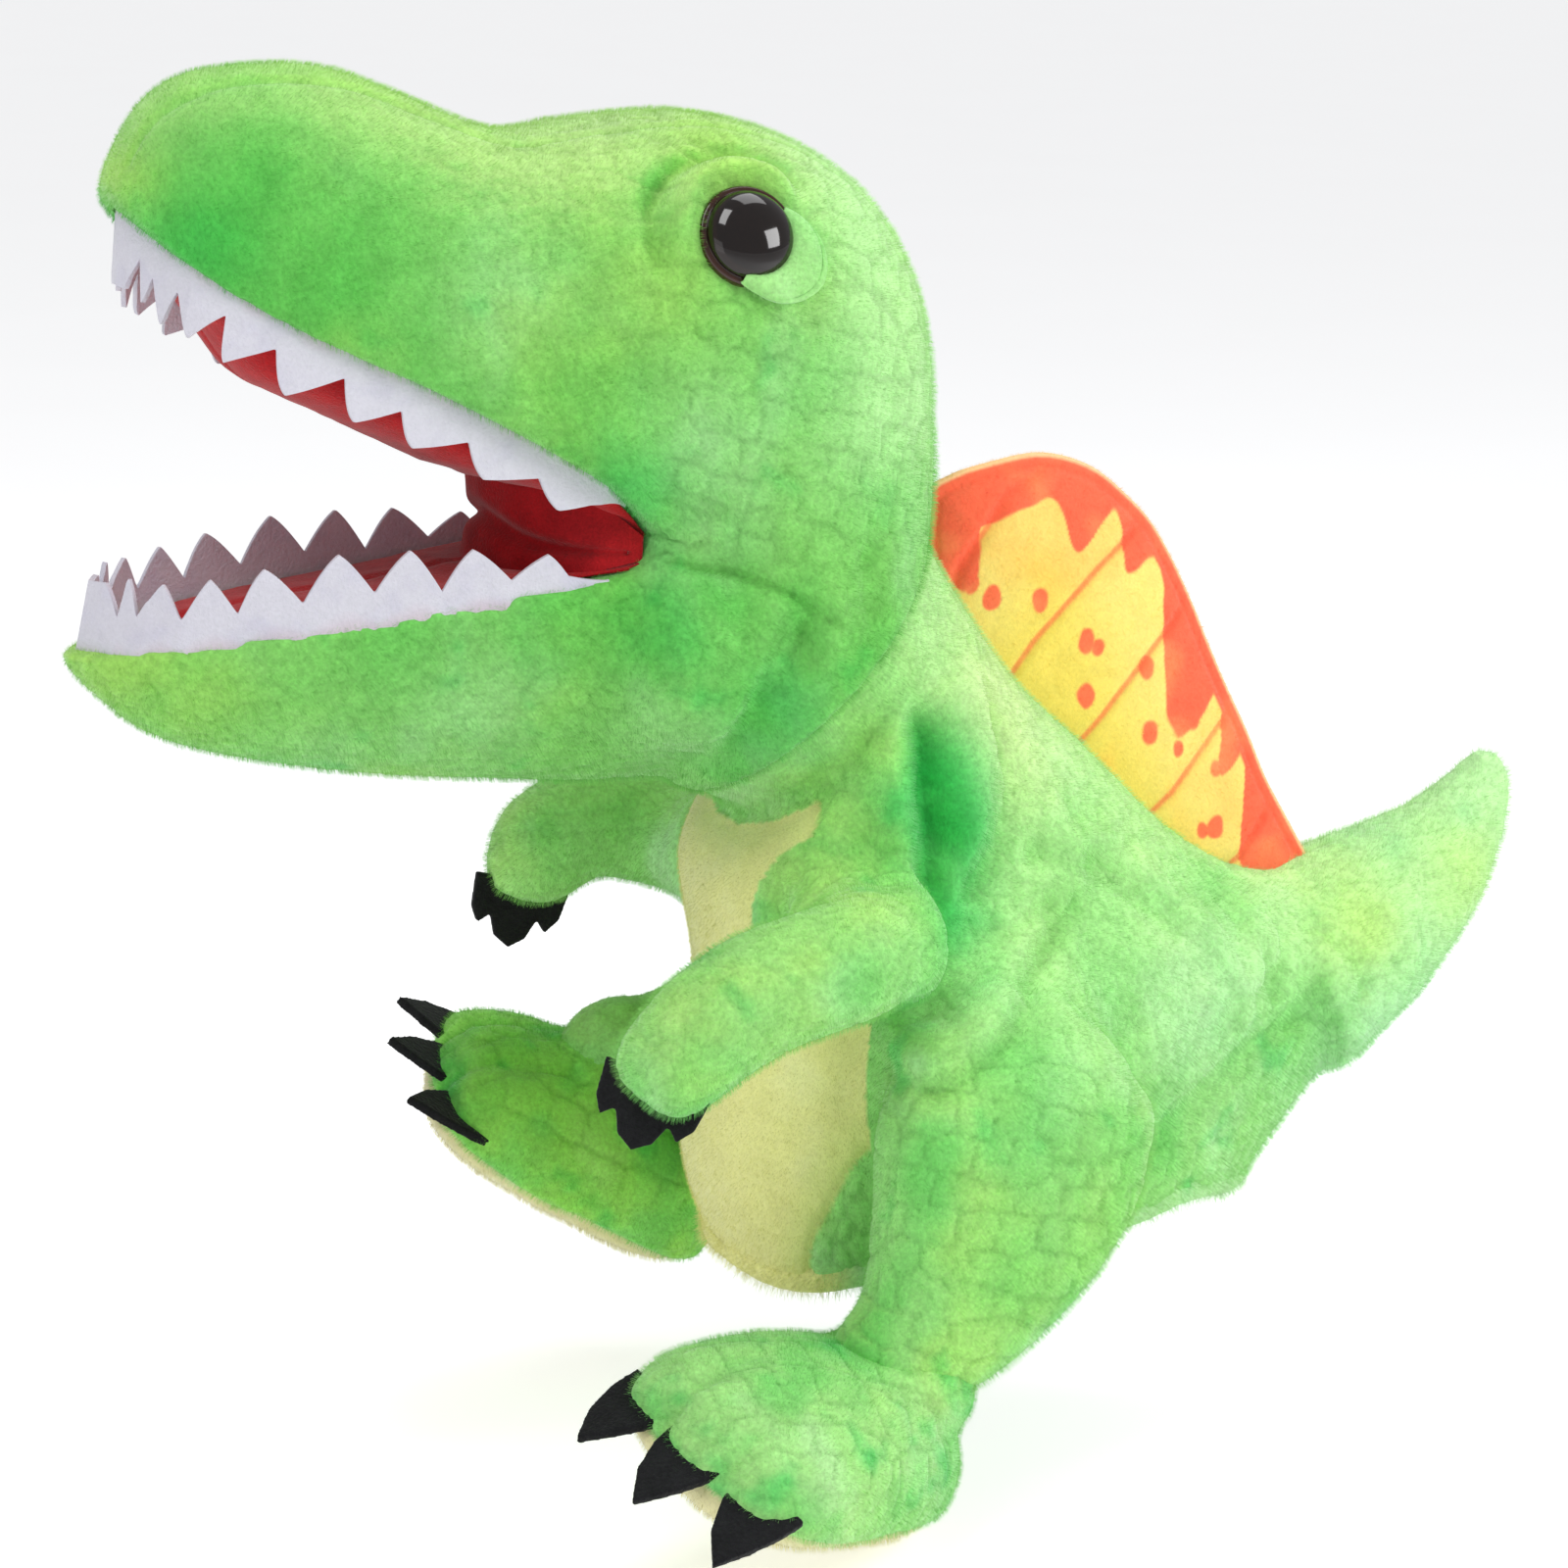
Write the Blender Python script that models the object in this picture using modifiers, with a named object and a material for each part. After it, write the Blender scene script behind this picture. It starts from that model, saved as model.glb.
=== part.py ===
"""Moving mouth hand puppet: a sail-backed dinosaur in plush.

Sizes are in millimetres and become metres when a mesh is made. +Z is up, the puppet
faces -Y and its left side is +X. The neck, head, jaw, arms, legs, feet, tail and sail
each hang on an empty that stands on their joint. The origin ends up on the hem's flat
lower face, at the back and on the middle plane.
"""
import math
from typing import NamedTuple

import bmesh
import bpy
from mathutils import Matrix, Vector

NAME = "moving_mouth_puppet"
MM = 0.001
X, Y, Z = Vector((1, 0, 0)), Vector((0, 1, 0)), Vector((0, 0, 1))

# ---- driving dimensions ------------------------------------------------------------
SKIN = 2.0            # plush with its backing
CLOTH = 1.1           # linings, pockets, belly panel, sail print
BOARD_THICK = 1.6     # stiffening boards in the mouth
FELT = 1.2            # teeth
CLAW_FELT = 2.4       # two layers of black felt
GAP = 0.4             # sewn pieces lie this far apart

NECK = Vector((0, -90, 167))              # centre of the neck ball
NECK_DOWN = Vector((0, 0.73, -0.683)).normalized()   # from the head down the sleeve
NECK_FRONT = Vector((0, -0.683, -0.73)).normalized()
NECK_R = 41.5         # outside of the body skin where it enters the head
MOUTH = Vector((0, -135, 198.5))          # mouth corner, the jaw's hinge line
SAIL_FRONT = Vector((0, -44, 172))        # front end of the sail's seam
SHOULDER = Vector((51, -93, 105))
HIP = Vector((51, -62, 46))
ANKLE = Vector((67, -88, 4))
ANKLE_X, ANKLE_R = 13.5, 18.0             # half-width and radius of the leg's lower ball
TAIL = Vector((0, 56, 73))                # centre of the tail's root ball
TAIL_DIR = Vector((0, 0.90, 0.436)).normalized()
HEM_Z, HEM_TOP = 13.0, 18.5
HEM_REAR_Y = 34.4                         # rear of the hem, where the origin is put

for old in list(bpy.data.objects):
    bpy.data.objects.remove(old, do_unlink=True)
for old in list(bpy.data.collections):
    bpy.data.collections.remove(old)

parts = bpy.data.collections.new(NAME)
cutters = bpy.data.collections.new("cutters")
bpy.context.scene.collection.children.link(parts)
bpy.context.scene.collection.children.link(cutters)


# ---- materials ---------------------------------------------------------------------
def material(name, colour, roughness):
    mat = bpy.data.materials.new(name)
    mat.use_nodes = True
    shader = mat.node_tree.nodes["Principled BSDF"]
    shader.inputs["Base Color"].default_value = (*colour, 1)
    shader.inputs["Roughness"].default_value = roughness
    mat.diffuse_color = (*colour, 1)
    return mat


GREEN = material("green_plush", colour=(0.24, 0.66, 0.17), roughness=0.95)
YELLOW = material("yellow_plush", colour=(0.70, 0.70, 0.24), roughness=0.95)
CREAM = material("cream_plush", colour=(0.75, 0.71, 0.42), roughness=0.95)
RED = material("red_fleece", colour=(0.55, 0.02, 0.02), roughness=0.95)
WHITE = material("white_felt", colour=(0.72, 0.72, 0.78), roughness=0.95)
BLACK = material("black_felt", colour=(0.01, 0.01, 0.012), roughness=0.9)
EYE = material("eye_plastic", colour=(0.012, 0.008, 0.006), roughness=0.08)
WASHER = material("washer_plastic", colour=(0.8, 0.8, 0.78), roughness=0.45)
FILL = material("polyester_fill", colour=(0.86, 0.86, 0.84), roughness=1.0)
LINING = material("grey_lining", colour=(0.62, 0.66, 0.60), roughness=0.9)
BOARD = material("mouth_board", colour=(0.50, 0.43, 0.33), roughness=0.8)
SAIL_PRINT = material("sail_print", colour=(0.95, 0.42, 0.12), roughness=0.75)


# ---- joints ------------------------------------------------------------------------
joints = {}           # name: (empty, place in mm)


def joint(name, at, parent=None):
    empty = bpy.data.objects.new("pivot_" + name, None)
    empty.empty_display_size = 0.01
    bpy.context.scene.collection.objects.link(empty)
    offset = Vector(at)
    if parent:
        empty.parent, parent_at = joints[parent]
        offset -= parent_at
    empty.location = offset * MM
    joints[name] = (empty, Vector(at))


def from_joint(point, on):
    """A point in millimetres as a place in metres relative to its joint."""
    return (point - joints[on][1]) * MM


# ---- sections and meshes -----------------------------------------------------------
def lerp(a, b, t):
    return a + (b - a) * t


def squared(value, power):
    """A sine or cosine pushed outwards for squarer corners when power is above 2."""
    return math.copysign(abs(value) ** (2 / power), value)


class Section(NamedTuple):
    """A closed section that narrows towards +up by egg."""
    centre: Vector
    side: Vector
    up: Vector
    half_width: float     # along side
    rise: float           # reach along +up
    drop: float           # reach along -up
    egg: float = 0.0
    power: float = 2.0

    def point(self, angle, inset=0.0):
        across, height = math.cos(angle), math.sin(angle)
        width = (self.half_width - inset) * squared(across, self.power)
        reach = (self.rise if height > 0 else self.drop) - inset
        return (self.centre + self.side * (width * (1 - self.egg * height))
                + self.up * (reach * squared(height, self.power)))

    def ring(self, count, inset=0.0):
        return [self.point(2 * math.pi * (i + 0.5) / count, inset) for i in range(count)]


def round_section(centre, up, radius, side=X):
    return Section(centre, side, up, radius, radius, radius)


def bridge(bm, first, second, closed=False):
    """A band of quads between two rows of vertices."""
    count = len(first)
    for i in range(count if closed else count - 1):
        j = (i + 1) % count
        bm.faces.new((first[i], first[j], second[j], second[i]))


def outward(bm):
    bmesh.ops.recalc_face_normals(bm, faces=bm.faces)
    middle = sum((v.co for v in bm.verts), Vector()) / len(bm.verts)
    total = sum((f.calc_center_median() - middle).dot(f.normal) * f.calc_area()
                for f in bm.faces)
    if total < 0:
        bmesh.ops.reverse_faces(bm, faces=bm.faces)


def loft(rings, start=None, end=None):
    """A surface over closed rings; an end is open (None), flat ("flat") or drawn to a point."""
    bm = bmesh.new()
    rows = [[bm.verts.new(p) for p in r] for r in rings]
    for first, second in zip(rows, rows[1:]):
        bridge(bm, first, second, closed=True)
    for row, closing in ((rows[0], start), (rows[-1], end)):
        if closing is None:
            continue
        if closing == "flat":
            bm.faces.new(row)
        else:
            tip = bm.verts.new(closing)
            for i in range(len(row)):
                bm.faces.new((row[i], row[(i + 1) % len(row)], tip))
    outward(bm)
    return bm


def sheet(rows, facing=None):
    """An open sheet over rows of points, turned to face along a direction if one is given."""
    bm = bmesh.new()
    lines = [[bm.verts.new(p) for p in row] for row in rows]
    for first, second in zip(lines, lines[1:]):
        bridge(bm, first, second)
    bm.normal_update()
    if facing and sum(f.normal.dot(facing) for f in bm.faces) < 0:
        bmesh.ops.reverse_faces(bm, faces=bm.faces)
    return bm


def box(size, matrix):
    bm = bmesh.new()
    bmesh.ops.create_cube(bm, size=1.0, matrix=matrix @ Matrix.Diagonal((*size, 1)))
    bmesh.ops.recalc_face_normals(bm, faces=bm.faces)
    return bm


def ball(centre, radii, around, rows):
    bm = bmesh.new()
    matrix = Matrix.Translation(centre) @ Matrix.Diagonal((*radii, 1))
    bmesh.ops.create_uvsphere(bm, u_segments=around, v_segments=rows, radius=1.0, matrix=matrix)
    return bm


def turn_to(axis):
    """The rotation that takes +Z to an axis."""
    return axis.to_track_quat("Z", "Y").to_matrix().to_4x4()


def cylinder(centre, axis, radius, depth):
    bm = bmesh.new()
    bmesh.ops.create_cone(bm, cap_ends=True, segments=16, radius1=radius, radius2=radius,
                          depth=depth, matrix=Matrix.Translation(centre) @ turn_to(axis))
    return bm


def frame(origin, x, y, z):
    matrix = Matrix((x, y, z)).transposed().to_4x4()
    matrix.translation = origin
    return matrix


# ---- objects and modifiers ---------------------------------------------------------
def new_object(name, data, mat, on):
    ob = bpy.data.objects.new(name, data)
    parts.objects.link(ob)
    data.materials.append(mat)
    ob.parent = joints[on][0]
    return ob


def to_mesh(name, bm, at, smooth):
    for v in bm.verts:
        v.co = (v.co - at) * MM
    mesh = bpy.data.meshes.new(name)
    bm.to_mesh(mesh)
    bm.free()
    for polygon in mesh.polygons:
        polygon.use_smooth = smooth
    return mesh


def add(name, bm, mat, on, smooth=True):
    """Puts a mesh made in millimetres at its place, hung on the empty of its joint."""
    return new_object(name, to_mesh(name, bm, joints[on][1], smooth), mat, on)


def solidify(ob, thickness, offset=-1.0):
    """Thickens a surface inwards (-1), evenly (0) or outwards (1)."""
    m = ob.modifiers.new("thickness", "SOLIDIFY")
    m.thickness = thickness * MM
    m.offset = offset
    m.use_even_offset = True
    return ob


def cutter(name, bm):
    name = "cut_" + name
    ob = bpy.data.objects.new(name, to_mesh(name, bm, Vector(), False))
    cutters.objects.link(ob)
    ob.hide_render = True
    ob.display_type = "WIRE"
    return ob


def cut(ob, *tools):
    for tool in tools:
        m = ob.modifiers.new(tool.name, "BOOLEAN")
        m.operation = "DIFFERENCE"
        m.object = tool
        m.solver = "EXACT"


def flat_shape(name, outline, thickness, mat, on, matrix):
    """A flat outline in millimetres, thickened evenly about its plane."""
    curve = bpy.data.curves.new(name, "CURVE")
    curve.dimensions = "2D"
    curve.fill_mode = "BOTH"
    curve.resolution_u = 1
    curve.extrude = thickness / 2 * MM
    spline = curve.splines.new("POLY")
    spline.points.add(len(outline) - 1)
    spline.use_cyclic_u = True
    for point, (x, y) in zip(spline.points, outline):
        point.co = (x * MM, y * MM, 0, 1)
    new_object(name, curve, mat, on).matrix_basis = matrix


def turned(name, profile, origin, axis, mat, on, flip=False):
    """A profile of (radius, height) pairs turned about its axis."""
    bm = bmesh.new()
    verts = [bm.verts.new((radius, 0, height)) for radius, height in profile]
    for a, b in zip(verts, verts[1:]):
        bm.edges.new((a, b))
    ob = new_object(name, to_mesh(name, bm, Vector(), False), mat, on)
    ob.matrix_basis = Matrix.Translation(from_joint(origin, on)) @ turn_to(axis)
    m = ob.modifiers.new("turn", "SCREW")
    m.steps = m.render_steps = 16
    m.use_merge_vertices = True
    m.merge_threshold = 0.00001
    m.use_normal_calculate = True
    m.use_normal_flip = flip
    m.use_smooth_shade = True


# ---- body --------------------------------------------------------------------------
# front point (y, z), rear point (y, z), half-width, egg; from the opening up
BODY = (
    ((-106, HEM_TOP + 0.4), (37, HEM_TOP + 0.4), 44.5, 0.40),
    ((-112, 28), (50, 30), 46.5, 0.42),
    ((-116, 46), (64, 47), 46.5, 0.46),
    ((-114, 62), (75, 58), 46.5, 0.50),
    ((-112, 74), (79.3, 71), 46, 0.52),
    ((-112, 84), (75, 86), 45, 0.52),
    ((-113, 92), (58, 95.5), 44.5, 0.48),
    ((-114, 99), (34, 101), 44.5, 0.42),
    ((-115, 106), (12, 115), 44.5, 0.34),
    ((-115, 112), (-12, 137), 44.5, 0.24),
    ((-112, 119.5), (-34, 159), 43.5, 0.12),
)
BODY_SIDES = 28
# distances down the sleeve from the neck ball's centre
BODY_NECK_STEPS = (16.0, 8.0, 0.0, -7.0, -14.0)
SLEEVE_NECK_STEPS = (15.0, 8.0, 0.0, -9.0, -18.0)
NECK_SLEEVE_PLAY = 0.8
# rear point (y, z) of the hand sleeve for each body section
SLEEVE_BACK = (
    (31, 19), (36, 29), (38, 44), (37, 58), (34, 70), (27, 82),
    (16, 93), (2, 101), (-10, 113), (-24, 134), (-41, 156),
)
SLEEVE_INSET = SKIN + 3.4
SLEEVE_NARROWER = 1.5
SLEEVE_EGG_MAX = 0.3
HEM_IN, HEM_OUT = 5.0, -0.8             # insets of the hem's inner and outer wall
BELLY = (34, 40, 44, 46, 44, 40, 36, 34, 36, 38, 34)   # half-angle in degrees per section
BELLY_LIFT = 0.9                        # inner face of the panel above the skin's outside
BELLY_STEPS = 5                         # quads from the middle to each edge


def body_section(front, rear, half_width, egg, power=2.15):
    front, rear = Vector((0, *front)), Vector((0, *rear))
    half = (rear - front).length / 2
    return Section((front + rear) / 2, X, (rear - front).normalized(),
                   half_width, half, half, egg, power)


def neck_rings(radius, steps):
    """Rings round a ball on the neck's centre."""
    return [round_section(NECK + NECK_DOWN * step, -NECK_FRONT,
                          math.sqrt(radius * radius - step * step)).ring(BODY_SIDES)
            for step in steps]


def build_body_skin():
    rings = [body_section(*row).ring(BODY_SIDES) for row in BODY]
    rings += neck_rings(NECK_R, BODY_NECK_STEPS)
    solidify(add("body_skin", loft(rings), GREEN, "body"), SKIN)


def build_hand_sleeve():
    """The hand's way from the opening to the neck, straighter than the skin."""
    rings = []
    for (front, _, half_width, egg), rear in zip(BODY, SLEEVE_BACK):
        section = body_section(front, rear, half_width - SLEEVE_NARROWER,
                               min(egg, SLEEVE_EGG_MAX), 2.1)
        rings.append(section.ring(BODY_SIDES, SLEEVE_INSET))
    solidify(add("hand_sleeve", loft(rings), LINING, "body"), CLOTH)


def build_hem():
    """A band round the opening, its section a closed rectangle."""
    (front_y, _), (rear_y, _), half_width, egg = BODY[0]
    bm = bmesh.new()
    loops = []
    for z, inset in ((HEM_Z, HEM_IN), (HEM_Z, HEM_OUT), (HEM_TOP, HEM_OUT), (HEM_TOP, HEM_IN)):
        section = body_section((front_y, z), (rear_y, z), half_width, egg)
        loops.append([bm.verts.new(p) for p in section.ring(BODY_SIDES, inset)])
    for k in range(4):
        bridge(bm, loops[k], loops[(k + 1) % 4], closed=True)
    bmesh.ops.recalc_face_normals(bm, faces=bm.faces)
    add("opening_hem", bm, GREEN, "body", smooth=False)


def build_belly():
    """A panel over the front of the body."""
    rows = []
    for row, spread in zip(BODY, BELLY):
        section = body_section(*row)
        rows.append([section.point(math.radians(-90 + spread * i / BELLY_STEPS), -BELLY_LIFT)
                     for i in range(-BELLY_STEPS, BELLY_STEPS + 1)])
    solidify(add("belly_panel", sheet(rows, -Y), YELLOW, "body"), CLOTH, 1.0)


def build_neck_sleeve():
    rings = neck_rings(NECK_R - SKIN - NECK_SLEEVE_PLAY, SLEEVE_NECK_STEPS)
    solidify(add("neck_sleeve", loft(rings), LINING, "neck"), CLOTH)


# ---- sail --------------------------------------------------------------------------
# (y, z) along the back, front to rear, then over the sail's free edge back to the front
SAIL_SEAM = ((-40, 167), (-34, 160.5), (-12, 138.5), (12, 116.5), (34, 102.8), (47, 101))
SAIL_EDGE = (
    (49, 107), (42, 123), (36, 137), (31, 148), (25, 161), (19, 174), (10, 190),
    (2, 199), (-9, 206), (-23, 210), (-38, 209), (-45, 206), (-46, 196), (-44, 181),
)
SAIL_LIFT = 1.6             # seam above the points along the back
WADDING_THICK = 2.0
WADDING_INSET = 2.5         # wadding's edge inside the print's
PRINT_X = 1.3 + CLOTH / 2   # middle of a printed face's thickness


def sail_sheet(name, middle_x, thickness, shrink, mat):
    points = [(y, z + SAIL_LIFT) for y, z in SAIL_SEAM] + list(SAIL_EDGE)
    mid_y = sum(y for y, z in points) / len(points)
    mid_z = sum(z for y, z in points) / len(points)
    outline = []
    for y, z in points:
        scale = 1 - shrink / math.hypot(y - mid_y, z - mid_z)
        outline.append((mid_y + (y - mid_y) * scale - SAIL_FRONT.y,
                        mid_z + (z - mid_z) * scale - SAIL_FRONT.z))
    # the outline's own axes are the puppet's Y and Z
    matrix = frame(X * middle_x * MM, Y, Z, X)
    flat_shape(name, outline, thickness, mat, "sail", matrix)


def build_sail():
    sail_sheet("sail_print_left", PRINT_X, CLOTH, 0.0, SAIL_PRINT)
    sail_sheet("sail_print_right", -PRINT_X, CLOTH, 0.0, SAIL_PRINT)
    sail_sheet("sail_wadding", 0.0, WADDING_THICK, WADDING_INSET, FILL)


# ---- head --------------------------------------------------------------------------
# top point (y, z), lip or throat point (y, z), half-width, height of the widest line and
# reach below it as shares of the section's height, squareness; from the nose to the neck
HEAD = (
    ((-254.5, 293.5), (-257.5, 283.5), 10, 0.30, 0.80, 2.0),
    ((-249.5, 302.5), (-253.5, 277), 18.5, 0.30, 0.80, 2.1),
    ((-239, 310), (-244, 269), 26, 0.30, 0.80, 2.2),
    ((-222, 312.5), (-231, 260), 30.5, 0.30, 0.75, 2.3),
    ((-203, 310.5), (-216, 250), 34, 0.30, 0.72, 2.3),
    ((-184, 303), (-200, 240), 37, 0.30, 0.68, 2.3),
    ((-165, 296), (-184, 229.5), 40, 0.32, 0.62, 2.4),
    ((-145, 298), (-168, 219), 43.5, 0.36, 0.60, 2.6),
    ((-120, 299), (-154, 209.5), 47, 0.40, 0.57, 2.7),
    ((-93, 292), (-143, 202), 49.5, 0.45, 0.53, 2.5),
    ((-72, 276), (-137.5, 190), 49.5, 0.5, 0.5, 2.3),
    ((-60, 251), (-136.5, 174), 48.5, 0.5, 0.5, 2.1),
    ((-57.5, 227), (-133.2, 155), 46.8, 0.5, 0.5, 2.0),
    ((-57.5, 212), (-128.6, 143.2), 46.0, 0.5, 0.5, 2.0),
    ((-58.5, 200.5), (-121.0, 133.9), 45.0, 0.5, 0.5, 2.0),
)
NOSE_TIP = Vector((0, -258.5, 287.5))
LAST_LIP_SECTION = 9        # the sections from the nose to this one end on the upper lip
# place in HEAD, underside above the lip plane, share of the head's half-width
HEAD_FILL = (
    (2.0, 17.5, 0.50), (2.5, 19, 0.60), (3, 22.5, 0.66), (4, 23.5, 0.70), (5, 23.5, 0.72),
    (6, 23.5, 0.74), (7, 23.5, 0.78), (8, 25, 0.80), (9, 30, 0.76),
)
HEAD_FILL_INSET = SKIN + 3.0


def head_section(station):
    """The head's section at a fractional row number of HEAD."""
    k = min(int(station), len(HEAD) - 2)
    t = station - k
    first, second = HEAD[k], HEAD[k + 1]
    top, low = (Vector((0, lerp(first[i][0], second[i][0], t), lerp(first[i][1], second[i][1], t)))
                for i in (0, 1))
    half_width, widest, below, power = (lerp(first[i], second[i], t) for i in (2, 3, 4, 5))
    height = (top - low).length
    return Section(low + (top - low) * widest, X, (top - low).normalized(), half_width,
                   (1 - widest) * height, below * height, 0.0, power)


def head_point(station, angle, lift=0.0):
    return head_section(station).point(angle, -lift)


def head_normal(station, angle):
    along = head_point(station + 0.05, angle) - head_point(station - 0.05, angle)
    around = head_point(station, angle + 0.02) - head_point(station, angle - 0.02)
    normal = along.cross(around).normalized()
    outwards = head_point(station, angle) - head_section(station).centre
    return normal if normal.dot(outwards) > 0 else -normal


# ---- lips and mouth ----------------------------------------------------------------
class Lip(NamedTuple):
    """One half of the mouth, laid out from the mouth corner."""
    name: str
    on: str               # the joint it hangs on
    along: Vector         # along the lip, away from the corner
    inward: Vector        # into the head or the jaw
    widths: tuple         # (distance from the corner, half-width)

    def point(self, distance, depth, x=0.0):
        return MOUTH + self.along * distance + X * x + self.inward * depth

    def width(self, distance):
        if distance <= self.widths[0][0]:
            return self.widths[0][1]
        for (start, first), (end, second) in zip(self.widths, self.widths[1:]):
            if distance <= end:
                return lerp(first, second, (distance - start) / (end - start))
        return self.widths[-1][1]


UP_DIR = Vector((0, -0.8315, 0.5555))
CORNER_HALF_WIDTH = 29.0    # upper lip at the mouth corner


def upper_lip_widths():
    """The half-width at the foot of each head section that ends on the lip."""
    widths = [(0.0, CORNER_HALF_WIDTH)]
    for _, low, half_width, widest, below, power in HEAD[LAST_LIP_SECTION::-1]:
        distance = (Vector((0, *low)) - MOUTH).dot(UP_DIR)
        foot = half_width * (1 - (widest / below) ** power) ** (1 / power)
        widths.append((distance, foot))
    widths.append((distance + 1.5, 3.0))      # rounded off at the nose
    return tuple(widths)


UPPER = Lip("upper", "head", UP_DIR, Vector((0, 0.5555, 0.8315)), upper_lip_widths())
LOWER = Lip("lower", "jaw", Vector((0, -0.9915, -0.130)), Vector((0, 0.130, -0.9915)), (
    (0, 35.5), (20, 35.0), (40, 33.8), (60, 32.0), (80, 30.0), (100, 26.8),
    (115, 23.0), (125, 18.5), (132, 12.5), (136.5, 5.5), (138, 2),
))
LIP_LEVEL = 1.0             # the skins are cut open this far inside the lip plane
SHEET_ROWS, SHEET_HALF = 12, 4    # quads along a mouth sheet and across half of it
TEETH_PER_SIDE = 9
TEETH_SAMPLES = 400         # fine steps for measuring along the lip
TEETH_INSET = 1.4           # strip's middle inside the lip's outline
TEETH_OVERLAP = 0.2         # strip's upper edge inside the lip plane
# half-section stations: distance from the corner, half-width, middle's depth, half-height
FINGER_POCKET = ((20, 29, 14.2, 7.8), (50, 27.5, 14.2, 7.8), (80, 24.5, 13.7, 7.3),
                 (104, 19, 12.8, 6.2), (112, 12, 12.2, 4.9))
THUMB_POCKET = ((20, 22, 12.6, 7.2), (45, 20, 12.6, 7.2), (70, 17, 12, 6.6), (84, 11, 11.5, 5.2))
POCKET_TIP = 5              # closed end beyond the last station


def mouth_cutter(lip, middle, size):
    """A box that opens a skin along a lip; size is across, along and away from the lip."""
    centre = lip.point(middle, LIP_LEVEL - size[2] / 2)
    side = lip.along.cross(lip.inward)
    return cutter(lip.name + "_mouth", box(size, frame(centre, side, lip.along, lip.inward)))


def mouth_sheet(name, lip, start, end, inset, level, thickness, mat):
    """A flat sheet parallel to a lip, level millimetres inside it."""
    rows = []
    for i in range(SHEET_ROWS + 1):
        distance = lerp(start, end, i / SHEET_ROWS)
        # read the width further on, so the sheet also stays inside the rounded front
        half_width = lip.width(distance + inset * 0.6) - inset
        rows.append([lip.point(distance, level, half_width * j / SHEET_HALF)
                     for j in range(-SHEET_HALF, SHEET_HALF + 1)])
    bm = sheet(rows, lip.inward)
    solidify(add(f"{name}_{lip.name}", bm, mat, lip.on), thickness, 1.0)


def build_teeth(lip, first, tip_height, notch_height):
    """A felt strip round the lip with a row of pointed teeth along its free edge."""
    last = lip.widths[-1][0] - 0.5
    distances = [lerp(first, last, i / TEETH_SAMPLES) for i in range(TEETH_SAMPLES + 1)]
    path = [Vector((lip.width(s) - TEETH_INSET, s, 0)) for s in distances]
    lengths = [0.0]
    for p, q in zip(path, path[1:]):
        lengths.append(lengths[-1] + (q - p).length)

    # notches and tips alternate at even steps along the path
    half = []
    for k in range(TEETH_PER_SIDE * 2 + 1):
        share = k / (TEETH_PER_SIDE * 2)
        wanted = lengths[-1] * share
        i = next((n for n, length in enumerate(lengths) if length >= wanted - 1e-6),
                 TEETH_SAMPLES)
        # the teeth grow from the mouth corner forwards
        height = (tip_height if k % 2 else notch_height) * min(1.0, 0.45 + 1.4 * share)
        half.append((path[i].x, path[i].y, height))

    # the strip goes round the front without a break
    whole = half + [(-x, distance, height) for x, distance, height in reversed(half[:-1])]
    fixed = [lip.point(distance, TEETH_OVERLAP, x) for x, distance, _ in whole]
    free = [lip.point(distance, TEETH_OVERLAP - height, x) for x, distance, height in whole]
    bm = sheet((fixed, free))
    solidify(add(lip.name + "_teeth", bm, WHITE, lip.on, smooth=False), FELT, 0.0)


def build_pocket(name, lip, stations):
    """A flat tube along a lip, open towards the mouth corner."""
    rings = []
    for distance, half_width, depth, half_height in stations:
        section = Section(lip.point(distance, depth), X, lip.inward,
                          half_width, half_height, half_height, power=2.6)
        rings.append(section.ring(18))
    tip = lip.point(distance + POCKET_TIP, depth)
    solidify(add(name, loft(rings, end=tip), LINING, lip.on), CLOTH)


def build_head():
    """Makes the head and returns its skin and filling, which the eyes go through."""
    rings = [head_section(k).ring(30) for k in range(len(HEAD))]
    skin = solidify(add("head_skin", loft(rings, start=NOSE_TIP), GREEN, "head"), SKIN)
    cut(skin, mouth_cutter(UPPER, 100, (140, 200, 70)))

    mouth_sheet("mouth_lining", UPPER, start=6, end=143, inset=5.4, level=2.4,
                thickness=CLOTH, mat=RED)
    mouth_sheet("mouth_board", UPPER, start=16, end=132, inset=8.0, level=4.0,
                thickness=BOARD_THICK, mat=BOARD)
    build_teeth(UPPER, first=23.0, tip_height=18.0, notch_height=6.5)
    build_pocket("finger_pocket", UPPER, FINGER_POCKET)

    # filling over the finger pocket, with a flat underside
    rings = []
    for station, lift, squeeze in HEAD_FILL:
        section = head_section(station)
        up = section.up
        top = section.centre + up * (section.rise - HEAD_FILL_INSET)
        foot = top - up * ((top - MOUTH).dot(UPPER.inward) - lift) / up.dot(UPPER.inward)
        half = (top - foot).length / 2
        rings.append(Section((top + foot) / 2, X, up, section.half_width * squeeze,
                             half, half, power=section.power).ring(22))
    filling = add("head_stuffing", loft(rings, "flat", "flat"), FILL, "head")
    return skin, filling


# ---- jaw ---------------------------------------------------------------------------
JAW_SIDES, JAW_POWER = 26, 2.05
JAW_RIM = 9.0               # reach of the sections on the mouth side of the lip plane
# distance from the corner, depth below the lip
JAW = ((137, 7), (131, 15), (121, 25), (101, 35), (77, 43), (54, 49.5), (30, 55.5), (10, 60))
THROAT_R = 47.5             # room for the neck ball
THROAT_TURN = 10.5          # how far the jaw opens, in degrees, when the ball needs that room
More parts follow.
